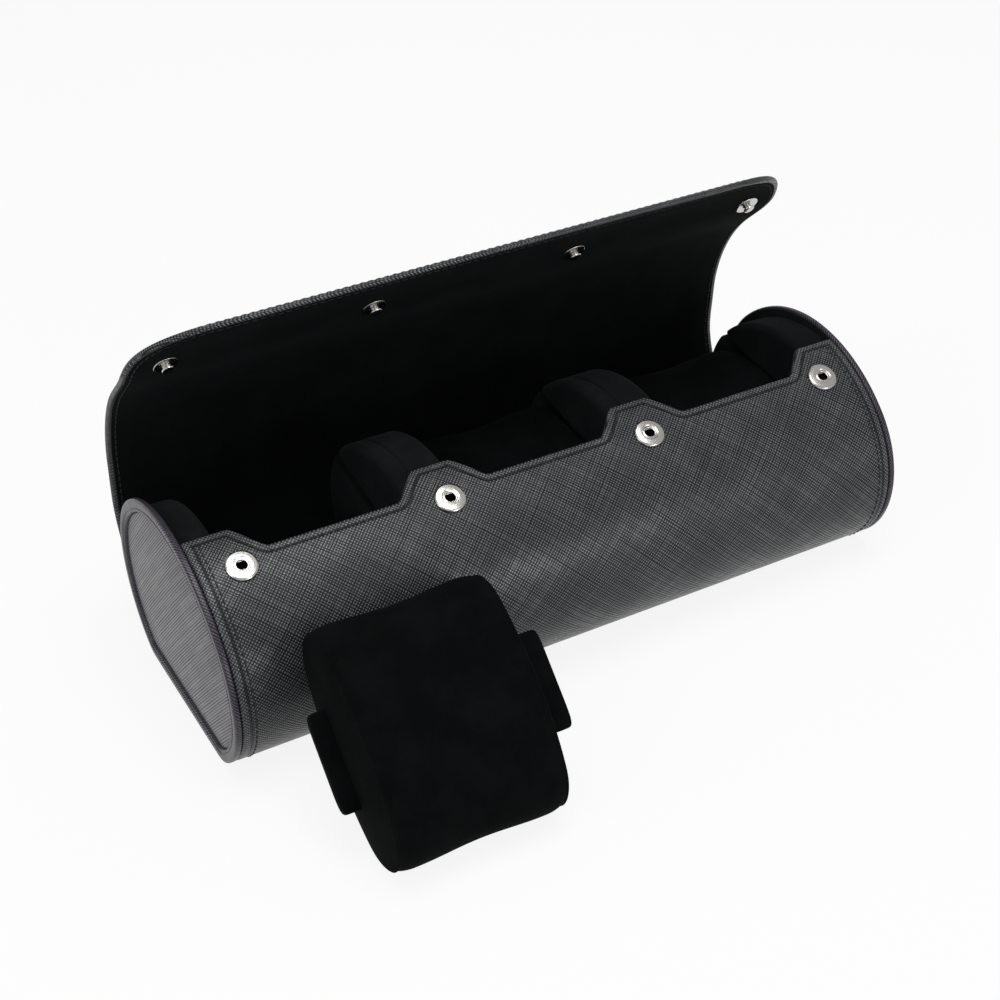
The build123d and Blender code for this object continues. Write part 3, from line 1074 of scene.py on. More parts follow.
# ---- sheets --------------------------------------------------------------------------------
@dataclass
class SheetPlan:
    """A bent sheet laid flat: rows of lengths along its path, and how wide each row is.

    rows holds each row's distance from the sheet's start and share its factor of the
    thickness, which falls off at a free edge. reach gives each row's half length along X.
    start gives the sheet's start along the path at each x.
    """

    path: SheetPath
    rows: np.ndarray
    share: np.ndarray
    reach: np.ndarray
    start: Callable[[np.ndarray], np.ndarray]
    fade: float = 30.0
    columns: int = 220
    tip_round: float = 1.2
    depths: tuple[float, float] = (0.0, 3.0)
    thin: Optional[Callable[[np.ndarray, np.ndarray], np.ndarray]] = None
    core: float = 1.5
    flat: Optional[np.ndarray] = None

    def surface(self) -> Surface:
        """The closed shell of the sheet.

        Each row is a loop: across the outer face, round a half ellipse, back across the
        inner face and round again. Rows run along the path, with
        s(x, v) = start(x) · (1 − smoothstep(v / fade)) + start₀ · smoothstep(v / fade) + v.

        Where thin is given, depths shrink towards the core by its factor. The pattern
        runs on round the edges, as (x ± depth, s + depth), and flat keeps the plain (x, s).

        Returns:
            The shell.
        """
        unit = np.linspace(-1, 1, self.columns)
        unit = np.sign(unit) * (1 - (1 - np.abs(unit)) ** 1.06)
        bend = np.radians(np.linspace(-90, 90, 10))[1:-1]
        even = (self.reach - self.tip_round)[:, None]
        across = even * unit
        tip = even + self.tip_round * np.cos(bend)
        x = np.concatenate([across, tip, across[:, ::-1], -tip], 1)
        level = np.concatenate([np.full(self.columns, -1.0), np.sin(bend)])
        level = np.concatenate([level, -level])[None, :] * self.share[:, None]
        middle, half = sum(self.depths) / 2, (self.depths[1] - self.depths[0]) / 2
        depth = middle + level * half
        if self.thin is not None:
            depth = self.core + (depth - self.core) * self.thin(x, self.rows[:, None])
        fade = smoothstep(self.rows / self.fade)[:, None]
        lead = self.start(x)
        s = lead * (1 - fade) + float(self.start(np.zeros(1))[0]) * fade + self.rows[:, None]
        point, normal = self.path.at(s)
        yz = point - normal * depth[..., None]
        count = x.shape[1]
        points = np.concatenate([x[..., None], yz], -1).reshape(-1, 3)
        quads = grid_quads(len(self.rows), count, True)
        caps = [self.cap(0, count), self.cap((len(self.rows) - 1) * count, count)[:, ::-1]]
        self.flat = np.stack([x, s], -1).reshape(-1, 2)
        pattern = np.stack([x + np.sign(x) * depth, s + depth], -1).reshape(-1, 2)
        return Surface(points, np.concatenate([quads, *caps]), pattern=pattern)

    def cap(self, first: int, count: int) -> np.ndarray:
        """Quads across the end of the shell, from a row's outer points to its inner ones."""
        order = np.roll(np.arange(count), 4)
        outer, inner = order[: count // 2], order[count // 2 :][::-1]
        return np.stack([outer[:-1], inner[:-1], inner[1:], outer[1:]], -1) + first


def edge_rows(free: bool, tip_round: float, length: float) -> tuple[np.ndarray, np.ndarray]:
    """Rows near an edge of a sheet.

    Args:
        free: Whether the sheet is rounded there or is cut flat to meet the next one.
        tip_round: How far the rounding runs.
        length: How far the rows go.

    Returns:
        Distances from the edge and the shell's share of its thickness there.
    """
    if not free:
        return np.array([0.0, 0.05]), np.ones(2)
    angle = np.radians([8, 24, 42, 62, 82])
    near = tip_round * (1 - np.cos(angle))
    further = np.linspace(tip_round, length, 6)
    return np.concatenate([near, further]), np.concatenate([np.sin(angle), np.ones(6)])


def sheet_rows(
    length: float, free_start: bool, free_end: bool, step: float = 1.5, tip_round: float = 1.2
) -> tuple[np.ndarray, np.ndarray]:
    """All rows of a sheet of a given length: distances and shares of the thickness."""
    first, first_share = edge_rows(free_start, tip_round, 5.0)
    last, last_share = edge_rows(free_end, tip_round, 5.0)
    low, high = first[-1], length - last[-1]
    middle = np.linspace(low, high, max(int((high - low) / step), 2) + 1)[1:-1]
    rows = np.concatenate([first, middle, (length - last)[::-1]])
    share = np.concatenate([first_share, np.ones(len(middle)), last_share[::-1]])
    return rows, share


def distance_to(points: np.ndarray, line: np.ndarray, limit: float = 12.0) -> np.ndarray:
    """Distance in the plane from each point to the nearest point of a dense line.

    Args:
        points: Points to measure.
        line: Points along the line, close together.
        limit: The largest distance that matters.

    Returns:
        One distance to a point, no more than the limit.
    """
    least = np.full(len(points), limit**2)
    for part in np.array_split(line, max(len(line) // 40, 1)):
        low, high = part.min(0) - limit, part.max(0) + limit
        near = np.flatnonzero(((points > low) & (points < high)).all(1))
        if len(near):
            gap = points[near, None, :] - part[None, :, :]
            least[near] = np.minimum(least[near], (gap**2).sum(-1).min(1))
    return np.sqrt(least)


class FrontEdge:
    """The front wall's top edge with its four tabs, as a length along the wrap at each x."""

    def __init__(self, sizes: CaseSizes) -> None:
        """Works out the edge on a dense row of x."""
        self.sizes = sizes
        self.x = np.linspace(-sizes.body_half - 1, sizes.body_half + 1, 4001)
        low = math.degrees(math.acos((sizes.front_edge_y + sizes.tab_reach) / sizes.crown_radius))
        high = math.degrees(math.acos(sizes.front_edge_y / sizes.crown_radius))
        self.reach = math.radians(high - low) * sizes.crown_radius
        plain = np.full_like(self.x, self.reach)
        for snap in sizes.snap_places:
            at_end = abs(snap) > sizes.pitch
            inner = sizes.end_tab_inner if at_end else sizes.middle_tab_half
            away = self.x - snap
            gone = (-away if snap > 0 else away) if at_end else np.abs(away)
            gone = gone - inner
            plain = np.minimum(plain, np.clip(gone / sizes.tab_slope, 0, 1) * self.reach)
        self.s = averaged(plain, int(sizes.tab_corner / (self.x[1] - self.x[0])), "edge")

    def at(self, x: np.ndarray, inset: float = 0.0) -> np.ndarray:
        """The edge, drawn in by an inset, as a length along the wrap.

        The drawn-in edge is the highest point of circles of that radius rolled along it:
        max over x' of s(x') + √(inset² − (x − x')²).

        Args:
            x: Places along the case.
            inset: How far inside the edge.

        Returns:
            Lengths along the wrap.
        """
        if inset <= 0:
            return np.interp(x, self.x, self.s)
        step = self.x[1] - self.x[0]
        width = int(inset / step)
        offsets = np.arange(-width, width + 1)
        rise = np.sqrt(np.maximum(inset**2 - (offsets * step) ** 2, 0))
        padded = np.pad(self.s, width, mode="edge")
        windows = np.lib.stride_tricks.sliding_window_view(padded, 2 * width + 1)
        return np.interp(x, self.x, (windows + rise).max(1))

    def line(self, inset: float, half: float) -> np.ndarray:
        """The drawn-in edge as (x, s) points between −half and half."""
        x = np.linspace(-half, half, 1600)
        return np.stack([x, self.at(x, inset)], -1)


def thread_line(
    line: np.ndarray,
    path: SheetPath,
    depth: float,
    span: tuple[float, float] = (-math.inf, math.inf),
    pitch: float = 2.7,
    length: float = 2.0,
    radius: float = 0.22,
) -> Surface:
    """A row of stitches along a line on a bent sheet.

    Each stitch is a capsule that dips into the sheet at both ends:
    (t, r(t) cos a, r(t) sin a − dip · (2t / length)²), with r(t) falling off at its ends.

    Args:
        line: The line's (x, s) points.
        path: The sheet's outer face.
        depth: Depth of the stitched face below the outer face.
        span: Lengths along the path between which stitches are kept.
        pitch: Distance from one stitch to the next.
        length: Length of a stitch.
        radius: Thickness of the thread.

    Returns:
        All the stitches as one surface.
    """
    run = run_length(line)
    centres = np.arange(pitch / 2, run[-1], pitch)
    ahead = np.clip(centres + 0.3, 0, run[-1])
    kept_s = np.interp(centres, run, line[:, 1])
    kept = (kept_s >= span[0]) & (kept_s < span[1])
    centres, ahead = centres[kept], ahead[kept]
    at = np.stack([np.interp(centres, run, line[:, k]) for k in (0, 1)], -1)
    to = np.stack([np.interp(ahead, run, line[:, k]) for k in (0, 1)], -1)
    way = (to - at) / np.maximum(np.linalg.norm(to - at, axis=1, keepdims=True), 1e-9)
    point, normal = path.at(at[:, 1])
    along_s = np.stack([-normal[:, 1], normal[:, 0]], -1)
    origin = np.concatenate([at[:, :1], point - normal * depth], 1)
    outward = 1.0 if depth <= 0.5 else -1.0
    up = np.concatenate([np.zeros_like(at[:, :1]), normal * outward], 1)
    forward = np.concatenate([way[:, :1], way[:, 1:] * along_s], 1)
    sideways = np.cross(up, forward)
    t = np.array([-0.5, -0.46, -0.3, 0.0, 0.3, 0.46, 0.5]) * length
    thick = radius * np.array([0.25, 0.7, 1.0, 1.05, 1.0, 0.7, 0.25])
    rings, sides = len(t), 6
    angle = np.linspace(0, 2 * math.pi, sides, endpoint=False)
    ring = np.stack([np.cos(angle), np.sin(angle)], -1)
    dip = -0.55 * radius * (2 * t / length) ** 2 + radius * 0.35
    local = np.stack(
        [
            np.broadcast_to(t[:, None], (rings, sides)),
            thick[:, None] * ring[:, 0],
            thick[:, None] * ring[:, 1] + dip[:, None],
        ],
        -1,
    ).reshape(-1, 3)
    axes = np.stack([forward, sideways, up], 1)
    points = origin[:, None, :] + np.einsum("ka,nab->nkb", local, axes)
    ends = np.array([[0, 1, 2, 3], [0, 3, 4, 5]])
    far = (rings - 1) * sides
    one = np.concatenate([grid_quads(rings, sides, True), ends[:, ::-1], ends + far])
    firsts = np.arange(len(centres))[:, None, None] * rings * sides
    quads = (firsts + one).reshape(-1, 4)
    return Surface(points.reshape(-1, 3), quads)


# ---- forms built round an outline ----------------------------------------------------------
def lofted(
    outline: tuple[np.ndarray, np.ndarray],
    centre: Sequence[float],
    stations: np.ndarray,
    swell: np.ndarray | float = 0.0,
) -> Surface:
    """Closed form through copies of a plane outline.

    Each station is (x, inset, share): the outline is drawn in by the inset along its
    normals, and then shrunk towards its centre by the share. Ends close in a pole.

    Args:
        outline: The outline's points and outward normals.
        centre: Its centre.
        stations: Rows of x, inset and share.
        swell: Extra reach outwards, one number or one per station and point.

    Returns:
        The closed surface, with (y, z) as its pattern.
    """
    points, normals = outline
    middle = np.asarray(centre)
    x, inset, share = stations.T
    drawn = points[None] - normals[None] * (inset[:, None] - swell)[..., None]
    yz = middle + (drawn - middle) * share[:, None, None]
    rings = np.concatenate([np.broadcast_to(x[:, None, None], (*yz.shape[:2], 1)), yz], -1)
    made = closed_rings(rings, np.array([x[0], *middle]), np.array([x[-1], *middle]))
    made.pattern = made.points[:, 1:].copy()
    made.edge = np.full(len(made.points), FAR_FROM_EDGE)
    return made


def swept_ring(outline: tuple[np.ndarray, np.ndarray], profile: np.ndarray) -> Surface:
    """Ring made by carrying a closed (x, inset) profile round a plane outline."""
    points, normals = outline
    yz = points[:, None, :] - normals[:, None, :] * profile[None, :, 1:]
    x = np.broadcast_to(profile[None, :, :1], (*yz.shape[:2], 1))
    rows = np.concatenate([x, yz], -1)
    count, across = len(points), len(profile)
    quads = grid_quads(count + 1, across, True) % (count * across)
    run = run_length(points)
    girth = run_length(np.concatenate([profile, profile[:1]]))[:-1]
    pattern = np.stack(np.broadcast_arrays(run[:, None], girth[None, :]), -1).reshape(-1, 2)
    made = Surface(rows.reshape(-1, 3), quads, pattern=pattern)
    made.edge = np.full(len(made.points), FAR_FROM_EDGE)
    return made


def softened_loop(
    corners: Sequence[Sequence[float]], radius: float, step: float = 0.12
) -> np.ndarray:
    """Closed polygon whose corners a moving average rounds, as even points."""
    closed = np.asarray([*corners, corners[0]], float)
    even = resampled(closed, step)[:-1]
    reach = max(int(radius / step), 1)
    return np.stack([averaged(even[:, k], reach, "wrap") for k in (0, 1)], -1)


def ripple(a: np.ndarray, b: np.ndarray, seed: int, size: float) -> np.ndarray:
    """Gentle unevenness: a sum of six sines of two coordinates, seeded, of about that size."""
    draw = np.random.default_rng(seed)
    waves = draw.uniform(0.04, 0.16, (6, 2)) * draw.choice([-1, 1], (6, 2))
    phase = draw.uniform(0, 2 * math.pi, 6)
    turns = a[..., None] * waves[:, 0] + b[..., None] * waves[:, 1] + phase
    return np.sin(turns).sum(-1) * size / 3


def pad_outline(pad: PadSizes, step: float = 1.3) -> tuple[np.ndarray, np.ndarray]:
    """A cushion's four-arc oval and its outward normals, about its own centre."""
    end_y, drop, turn = pad.end_y, pad.crown_drop, pad.turn
    arcs = [
        ((end_y, 0), pad.end_radius, -turn, turn),
        ((0, -drop), pad.crown_radius, turn, 180 - turn),
        ((-end_y, 0), pad.end_radius, 180 - turn, 180 + turn),
        ((0, drop), pad.crown_radius, 180 + turn, 360 - turn),
    ]
    angles = [
        np.linspace(a, b, int(math.radians(b - a) * r / step), endpoint=False)
        for _, r, a, b in arcs
    ]
    points = np.concatenate([polar(c, r, angle) for (c, r, _, _), angle in zip(arcs, angles)])
    return points, polar((0, 0), 1.0, np.concatenate(angles))


# ---- sub-assemblies ------------------------------------------------------------------------
@dataclass
class Assembly:
    """What each sub-assembly is made with."""

    sizes: CaseSizes
    section: CaseSection
    paint: Paint
    finishes: Finishes

    def piece(
        self, name: str, shape: Surface, finish: Finish, slot: str, smooth_angle: float = 50.0
    ) -> bpy.types.Object:
        """A new piece with its finish.

        Args:
            name: The piece's name.
            shape: Its closed surface.
            finish: One of the finish classes.
            slot: The record's material slot.
            smooth_angle: Edges that turn more than this, in degrees, stay sharp.

        Returns:
            The piece.
        """
        return self.paint.on(make_object(name, shape, smooth_angle), finish, slot)

    def sheet_pieces(
        self, name: str, leather: Surface, lining: Surface, thread: Surface
    ) -> list[bpy.types.Object]:
        """A sheet's three pieces, which stand for its leather, board and lining."""
        look = self.finishes
        skin = self.piece(f"{name}_leather_skin", leather, look.saffiano, "saffiano")
        inner = self.piece(f"{name}_lining_skin", lining, look.lining, "lining_suede")
        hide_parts(f"{name}_leather", f"{name}_board")
        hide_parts(f"{name}_lining")
        return [skin, inner, self.piece(f"{name}_thread", thread, look.thread, "saffiano")]


@dataclass
class Wrap(Assembly):
    """The stiff wrap: front wall with tabs, bottom and lower back, with its lining."""

    side_stitch_inset: float = 4.5
    socket_hole: float = 2.75

    def __post_init__(self) -> None:
        """Works out the wrap's path, its front edge and where it ends."""
        self.path = self.section.base_path()
        self.edge = FrontEdge(self.sizes)
        self.length = float(self.path.s[-1]) - self.sizes.hinge_lead

    def build(self) -> list[bpy.types.Object]:
        """Builds the leather, the lining and the thread, riding on the case."""
        z = self.sizes
        leather = self.shell(0.0, z.leather_depths, z.leather_tip)
        lining = self.shell(z.hem, z.lining_depths, z.lining_tip)
        made = self.sheet_pieces("wrap", leather, lining, self.thread())
        self.punch(made[0])
        for piece in made:
            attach(piece, "case")
        return made

    def shell(self, inset: float, depths: tuple[float, float], tip: float) -> Surface:
        """One closed layer of the wrap, drawn in from its free edges by an inset."""
        half = self.sizes.body_half - inset
        rows, share = sheet_rows(self.length - inset, True, False, tip_round=tip)
        plan = SheetPlan(
            self.path,
            rows,
            share,
            half - 0.8 * tip * (1 - share),
            lambda x: self.edge.at(x, inset),
            tip_round=tip,
            depths=depths,
        )
        made = plan.surface()
        if inset == 0.0:
            made.edge = distance_to(plan.flat, self.outline(half, 0.0))
        return made

    def outline(self, half: float, inset: float) -> np.ndarray:
        """The tabs' edge and the two ends as (x, s) points, between −half and half."""
        ends = [self.end_line(x, inset) for x in (-half, half)]
        return np.concatenate([self.edge.line(inset, half), *ends])

    def end_line(self, x: float, inset: float) -> np.ndarray:
        """The line down an end of the wrap at x, as (x, s) points."""
        s = np.linspace(float(self.edge.at(np.array([abs(x)]), inset)[0]), self.length, 400)
        return np.stack([np.full_like(s, x), s], -1)

    def thread(self) -> Surface:
        """Stitches along the tabs' edge and down both ends."""
        half, inset = self.sizes.body_half - self.side_stitch_inset, self.sizes.stitch_inset
        lines = [self.edge.line(inset, half)] + [self.end_line(x, inset) for x in (-half, half)]
        return all_joined([thread_line(line, self.path, 0.0) for line in lines])

    def punch(self, skin: bpy.types.Object) -> None:
        """Opens the leather at the four snap sockets."""
        low, high, axis = -6.0, 2.0, 0.01
        bore = [(axis, low), (self.socket_hole, low), (self.socket_hole, high), (axis, high)]
        cut(skin, [self.section.at_snaps(revolved(np.array(bore), 40))], 50.0)


@dataclass
class Flap(Assembly):
    """The flexible flap: back panel, lid and lip in one bent sheet that creases at three lines."""

    edge_thickness: float = 0.6
    thin_reach: float = 9.0
    thin_start: float = 25.0

    def __post_init__(self) -> None:
        """Works out the open flap's path and where its parts meet."""
        z = self.sizes
        self.path, self.creases = self.section.flap_path(z.hinge_lead, z.crease_reaches)
        hinge, lid, lip = self.creases
        self.length = float(self.path.s[-1])
        self.meets = [0.0, (hinge + lid) / 2, (lid + lip) / 2, self.length]

    def build(self) -> list[bpy.types.Object]:
        """Builds the three parts' leather, lining and thread."""
        z = self.sizes
        core = z.wall / 2
        kept = self.thickness_at(np.array([z.stitch_inset]))[0]
        faces = (core - core * kept, core + (core + z.lining_proud) * kept)
        line = self.rim_line(z.stitch_inset)
        bodies = (("case", "back_panel"), ("back_panel", "lid"), ("lid", "lip"))
        made = []
        for part, (name, pair) in enumerate(zip(("back", "lid", "lip"), bodies)):
            leather = self.layer(part, 0.0, z.leather_depths, z.leather_tip)
            lining = self.layer(part, z.hem, z.lining_depths, z.lining_tip)
            span = (self.meets[part], self.meets[part + 1])
            thread = all_joined([thread_line(line, self.path, depth, span) for depth in faces])
            start, end = self.crease_ends(part)
            for piece in self.sheet_pieces(name, leather, lining, thread):
                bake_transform(piece)
                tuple(start)
                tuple(end)
                made.append(piece)
        return made

    def crease_ends(self, part: int) -> tuple[tuple, tuple]:
        """The points, in metres, between which a part bends."""
        reach = self.sizes.crease_reaches[part]
        at = np.array([self.creases[part] - reach, self.creases[part] + reach])
        first, last = self.path.at(at)[0] * MM
        return (0.0, *first), (0.0, *last)

    def reach_at(self, s: np.ndarray, inset: float) -> np.ndarray:
        """Half length of the flap at lengths along it, with its rounded free corners.

        Near the free edge it is H − R + √(R² − (R − e)²), with e the distance to that edge.
        """
        z = self.sizes
        radius = z.lip_corner - inset
        gone = np.clip(self.length - inset - s, 0, radius)
        corner = radius - np.sqrt(np.maximum(radius**2 - (radius - gone) ** 2, 0))
        wide = z.flap_half + z.flap_side_gap * (1 - smoothstep(s / z.hinge_lead))
        return wide - inset - corner

    def thickness_at(self, gap: np.ndarray) -> np.ndarray:
        """Share of the full thickness at a distance from the free edge."""
        return self.edge_thickness + (1 - self.edge_thickness) * smoothstep(gap / self.thin_reach)

    def layer(self, part: int, inset: float, depths: tuple[float, float], tip: float) -> Surface:
        """One closed layer of one part of the flap."""
        low = self.meets[part]
        last = part == 2
        high = self.meets[part + 1] - (inset if last else 0.0)
        rows, share = sheet_rows(high - low, False, last, step=1.2, tip_round=tip)

        def thin(x: np.ndarray, v: np.ndarray) -> np.ndarray:
            """Share of the thickness at a place on this part."""
            gap = np.minimum(self.reach_at(low + v, 0.0) - np.abs(x), self.length - low - v)
            past = smoothstep((low + v - self.sizes.hinge_lead) / self.thin_start)
            return 1 - (1 - self.thickness_at(np.maximum(gap, 0))) * past

        plan = SheetPlan(
            self.path,
            rows,
            share,
            self.reach_at(low + rows, inset),
            lambda x: np.full_like(x, low),
            tip_round=tip,
            depths=depths,
            thin=thin,
        )
        made = plan.surface()
        if inset == 0.0:
            made.edge = distance_to(plan.flat, self.rim_line(0.0))
        return made

    def rim_line(self, inset: float) -> np.ndarray:
        """The flap's free outline, drawn in by an inset, as (x, s) points."""
        radius = self.sizes.lip_corner - inset
        end = self.length - inset
        corner = end - radius + radius * np.sin(np.linspace(0, math.pi / 2, 60))
        s = np.concatenate([np.linspace(0, end - radius, 500), corner])
        x = self.reach_at(s, inset)
        x[-1] = self.sizes.flap_half - inset - radius
        right = np.stack([x, s], -1)
        free = np.linspace(x[-1], -x[-1], 900)[1:-1]
        across = np.stack([free, np.full_like(free, end)], -1)
        return np.concatenate([right, across, right[::-1] * (-1, 1)])


@dataclass
class EndCap(Assembly):
    """One end of the case: the rolled rim, the padded panel and the suede facing inside."""

    sign: int

    @property
    def side(self) -> str:
        """The end's name."""
        return "right" if self.sign > 0 else "left"

    def build(self) -> list[bpy.types.Object]:
        """Builds the rim, the panel and the facing, riding on the case."""
        z, look = self.sizes, self.finishes
        outline = self.section.outline(1.2)
        low, high, outer, inner = z.body_half - 0.24, z.body_half + 0.04, 0.8, 3.8
        facing = [(low, inner), (low, 0.95), (low + 0.1, outer), (high, outer), (high, inner)]
        rim_shape = swept_ring(outline, self.rim_profile())
        panel_shape = lofted(outline, z.middle, self.panel_stations())
        facing_shape = swept_ring(outline, np.array(facing))
        made = []
        for name, shape, finish, slot in (
            (f"end_rim_{self.side}_roll", rim_shape, look.end_leather, "end_leather"),
            (f"end_panel_{self.side}_pad", panel_shape, look.end_leather, "end_leather"),
            (f"end_facing_{self.side}", facing_shape, look.block, "block_suede"),
        ):
            piece = self.piece(name, self.mirrored(shape), finish, slot)
            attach(piece, "case")
            made.append(piece)
        for piece, node in zip(made, ("end_rim", "end_panel")):
            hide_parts(f"{node}_{self.side}")
        return made

    def mirrored(self, surface: Surface) -> Surface:
        """The surface at this end: as built at the right, mirrored at the left."""
        return replace(surface, points=surface.points * (self.sign, 1, 1))

    def rim_profile(self) -> np.ndarray:
        """The rim's closed (x, inset) section: a full roll, a seam and a thin bead."""
        z = self.sizes
        x = z.body_half
        corners = [
            (x + 0.0, 4.6),
            (x + 0.0, 0.5),
            (x + 0.35, 0.0),
            (x + 1.75, 0.0),
            (x + 2.1, 0.75),
            (x + 2.1, 2.5),
            (x + 1.75, 2.95),
            (x + 1.5, 3.15),
            (x + 1.95, 3.4),
            (x + 1.95, 4.0),
            (x + 1.4, 4.3),
            (x + 0.6, 4.5),
        ]
        return softened_loop(corners, 0.42)

    def panel_stations(self) -> np.ndarray:
        """The panel's rings: a rounded edge behind the bead, then a shallow pillow."""
        x = self.sizes.body_half
        rounded = ((0.1, 4.4), (0.55, 4.25), (0.95, 4.45), (1.15, 4.9))
        edge = [(x + out, inset, 1.0) for out, inset in rounded]
        share = np.linspace(0.97, 0.06, 22)
        rise = 1.15 + 0.65 * (1 - share**3)
        middle = np.stack([x + rise, np.full_like(share, 4.9), share], -1)
        back = [(x + 0.05, 8.0, 0.1), (x + 0.05, 8.0, 0.6)]
        return np.concatenate([back, edge, middle])


@dataclass
class SuedeBlock(Assembly):
    """A suede-covered block across the case, with soft edges, a seam and the wings' slots."""

    name: str
    low: float
    high: float
    soft_low: bool
    soft_high: bool
    seam: Optional[float]
    slots: Sequence[tuple[float, int, float]]
    edge_round: float = 2.6
    flat_round: float = 0.3
    ring_step: float = 0.35
    seam_groove: float = 0.55
    seam_width: float = 0.45
    sag: float = 0.15
    uneven: float = 0.1
    ripple_seed: int = 7
    slot_gap: float = 0.4
    slot_end_gap: float = 0.6
    slot_run: float = 44.0

    def build(self) -> bpy.types.Object:
        """Builds the block with its slots cut, riding on the case."""
        stations = self.stations()
        outline = self.section.outline(1.5)
        around = outline[0].sum(1)[None, :]
        along = stations[:, :1] * np.ones_like(around)
        swell = ripple(along, around, self.ripple_seed, self.uneven)
        shape = lofted(outline, self.sizes.middle, stations, swell)
        block = self.piece(f"{self.name}_cover", shape, self.finishes.block, "block_suede")
        cut(block, [self.slot(*where) for where in self.slots])
        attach(block, "case")
        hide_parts(self.name)
        return block

    def stations(self) -> np.ndarray:
        """The block's rings, with rounded edges and the seam's groove round it."""
        z, r = self.sizes, self.edge_round
        inset = z.block_inset
        turn = np.radians(np.linspace(0, 90, 7))
        low_r = r if self.soft_low else self.flat_round
        high_r = r if self.soft_high else self.flat_round
        shares = np.array([0.12, 0.4, 0.7, 0.9])

        def end(x: float, radius: float, inwards: int) -> np.ndarray:
            """Rings of one end, from its middle out and round its edge."""
            face = np.stack([0 * shares + x, 0 * shares + inset + radius, shares], -1)
            round_x = x + inwards * radius * (1 - np.cos(turn))
            edge = np.stack([round_x, inset + radius * (1 - np.sin(turn)), 0 * turn + 1], -1)
            return np.concatenate([face, edge])[::inwards]

        step = self.ring_step
        flat = np.arange(self.low + low_r + step, self.high - high_r - 0.2, step)
        dip = np.zeros_like(flat)
        if self.seam is not None:
            dip = self.seam_groove * hill(flat, self.seam, self.seam_width)
        from_middle = 2 * (flat - (self.low + self.high) / 2) / (self.high - self.low)
        side = np.stack([flat, inset + dip + self.sag * from_middle**2, np.ones_like(flat)], -1)
        return np.concatenate([end(self.low, low_r, 1), side, end(self.high, high_r, -1)])

    def slot(self, seat_x: float, sign: int, height: float) -> Surface:
        """Cutter for the wing of a cushion seated at that x, on one of its sides.

        Args:
            seat_x: The seated cushion's middle.
            sign: Which side of the cushion.
            height: Height of the wing above the cushion's middle.

        Returns:
            The soft-edged cutter, running on behind the wing.
        """
        z = self.sizes
        reach = z.pad_half + PAD.wing_out + self.slot_end_gap
        length = PAD.wing_length + 1.2 + self.slot_run
        half = (reach / 2, length / 2, PAD.wing_thickness / 2 + self.slot_gap)
        centre = (sign * reach / 2, PAD.wing_u + self.slot_run / 2, height)
        box = rounded_box(centre, half, 14.0, 40)
        return moved(box, about_x(z.seat_tilt), (seat_x, z.seat_y, z.seat_z))


@dataclass
class Cushion(Assembly):
    """One cushion: a crowned, waisted suede roll with seamed end panels and two wings."""

    name: str
    turn: float
    place: tuple[float, float, float]
    seed: int
    uneven: float = 0.22
    seam_ridge: float = 0.55
    wing_root: float = 1.6

    def build(self) -> list[bpy.types.Object]:
        """Builds the pad and its wings, riding on the cushion's body."""
        outline = pad_outline(PAD)
        stations = self.stations()
        along = stations[:, :1] * np.ones(len(outline[0]))
        around = run_length(outline[0])[None, :] * np.ones_like(along)
        swell = ripple(along, around, self.seed, self.uneven)
        pad = moved(lofted(outline, (0.0, 0.0), stations, swell), about_x(self.turn), self.place)
        pad.points[:, 2] = np.maximum(pad.points[:, 2], 0.0)
        ends = (f"{self.name}_{part}" for part in ("cover", "end_left", "end_right"))
        made = [self.soft_piece(f"{self.name}_pad", pad, 0.9, *ends)]
        for sign, side, height in ((-1, "left", PAD.left_wing_v), (1, "right", PAD.right_wing_v)):
            node = f"{self.name}_wing_{side}"
            made.append(self.soft_piece(f"{node}_flap", self.wing(sign, height), 1.0, node))
        return made

    def soft_piece(self, name: str, shape: Surface, fill: float, *nodes: str) -> bpy.types.Object:
        """A padded piece that rides on the cushion's body and stands for some CAD nodes."""
        piece = self.piece(name, shape, self.finishes.cushion, "cushion_suede")
        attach(piece, self.name)
        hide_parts(*nodes)
        return piece

    def stations(self) -> np.ndarray:
        """The pad's rings: end panel, raised seam, shoulder, waist, and the same again.

        The inset is waist · cos²(πx / 2a) in the middle and grows over the shoulders as
        drop · t², with the seam's ridge on top of it.
        """
        body = self.sizes.pad_half - 1.0
        x = np.concatenate([np.linspace(0, body - 7, 22), np.linspace(body - 6.6, body, 30)])
        past = np.clip((x - (body - PAD.shoulder)) / PAD.shoulder, 0, 1)
        waist = PAD.waist * np.cos(math.pi / 2 * np.clip(x / (body - PAD.shoulder), 0, 1)) ** 2
        ridge = self.seam_ridge * hill(x, body - 0.45, 0.4)
        inset = waist + PAD.shoulder_drop * past**2.2 - ridge
        right = np.stack([x, inset, np.ones_like(x)], -1)
        share = np.array([1.0, 0.985, 0.95, 0.9, 0.82, 0.7, 0.55, 0.38, 0.2, 0.06])
        rise = body + 0.05 + (PAD.end_crown + 0.2) * (1 - share**2.6)
        depth = np.array([2.1] + [2.3] * (len(share) - 1))
        panel = np.stack([rise, depth, share], -1)
        half_way = np.concatenate([right, panel])
        return np.concatenate([half_way[::-1] * (-1, 1, 1), half_way[1:]])

    def wing(self, sign: int, height: float) -> Surface:
        """A flat stuffed flap at one end of the pad, with soft edges."""
        reach = (PAD.wing_out + self.wing_root) / 2
        centre = (sign * (self.sizes.pad_half - self.wing_root + reach), PAD.wing_u, height)
        box = rounded_box(centre, (reach, PAD.wing_length / 2, PAD.wing_thickness / 2), 7.0, 56)
        return moved(box, about_x(self.turn), self.place)


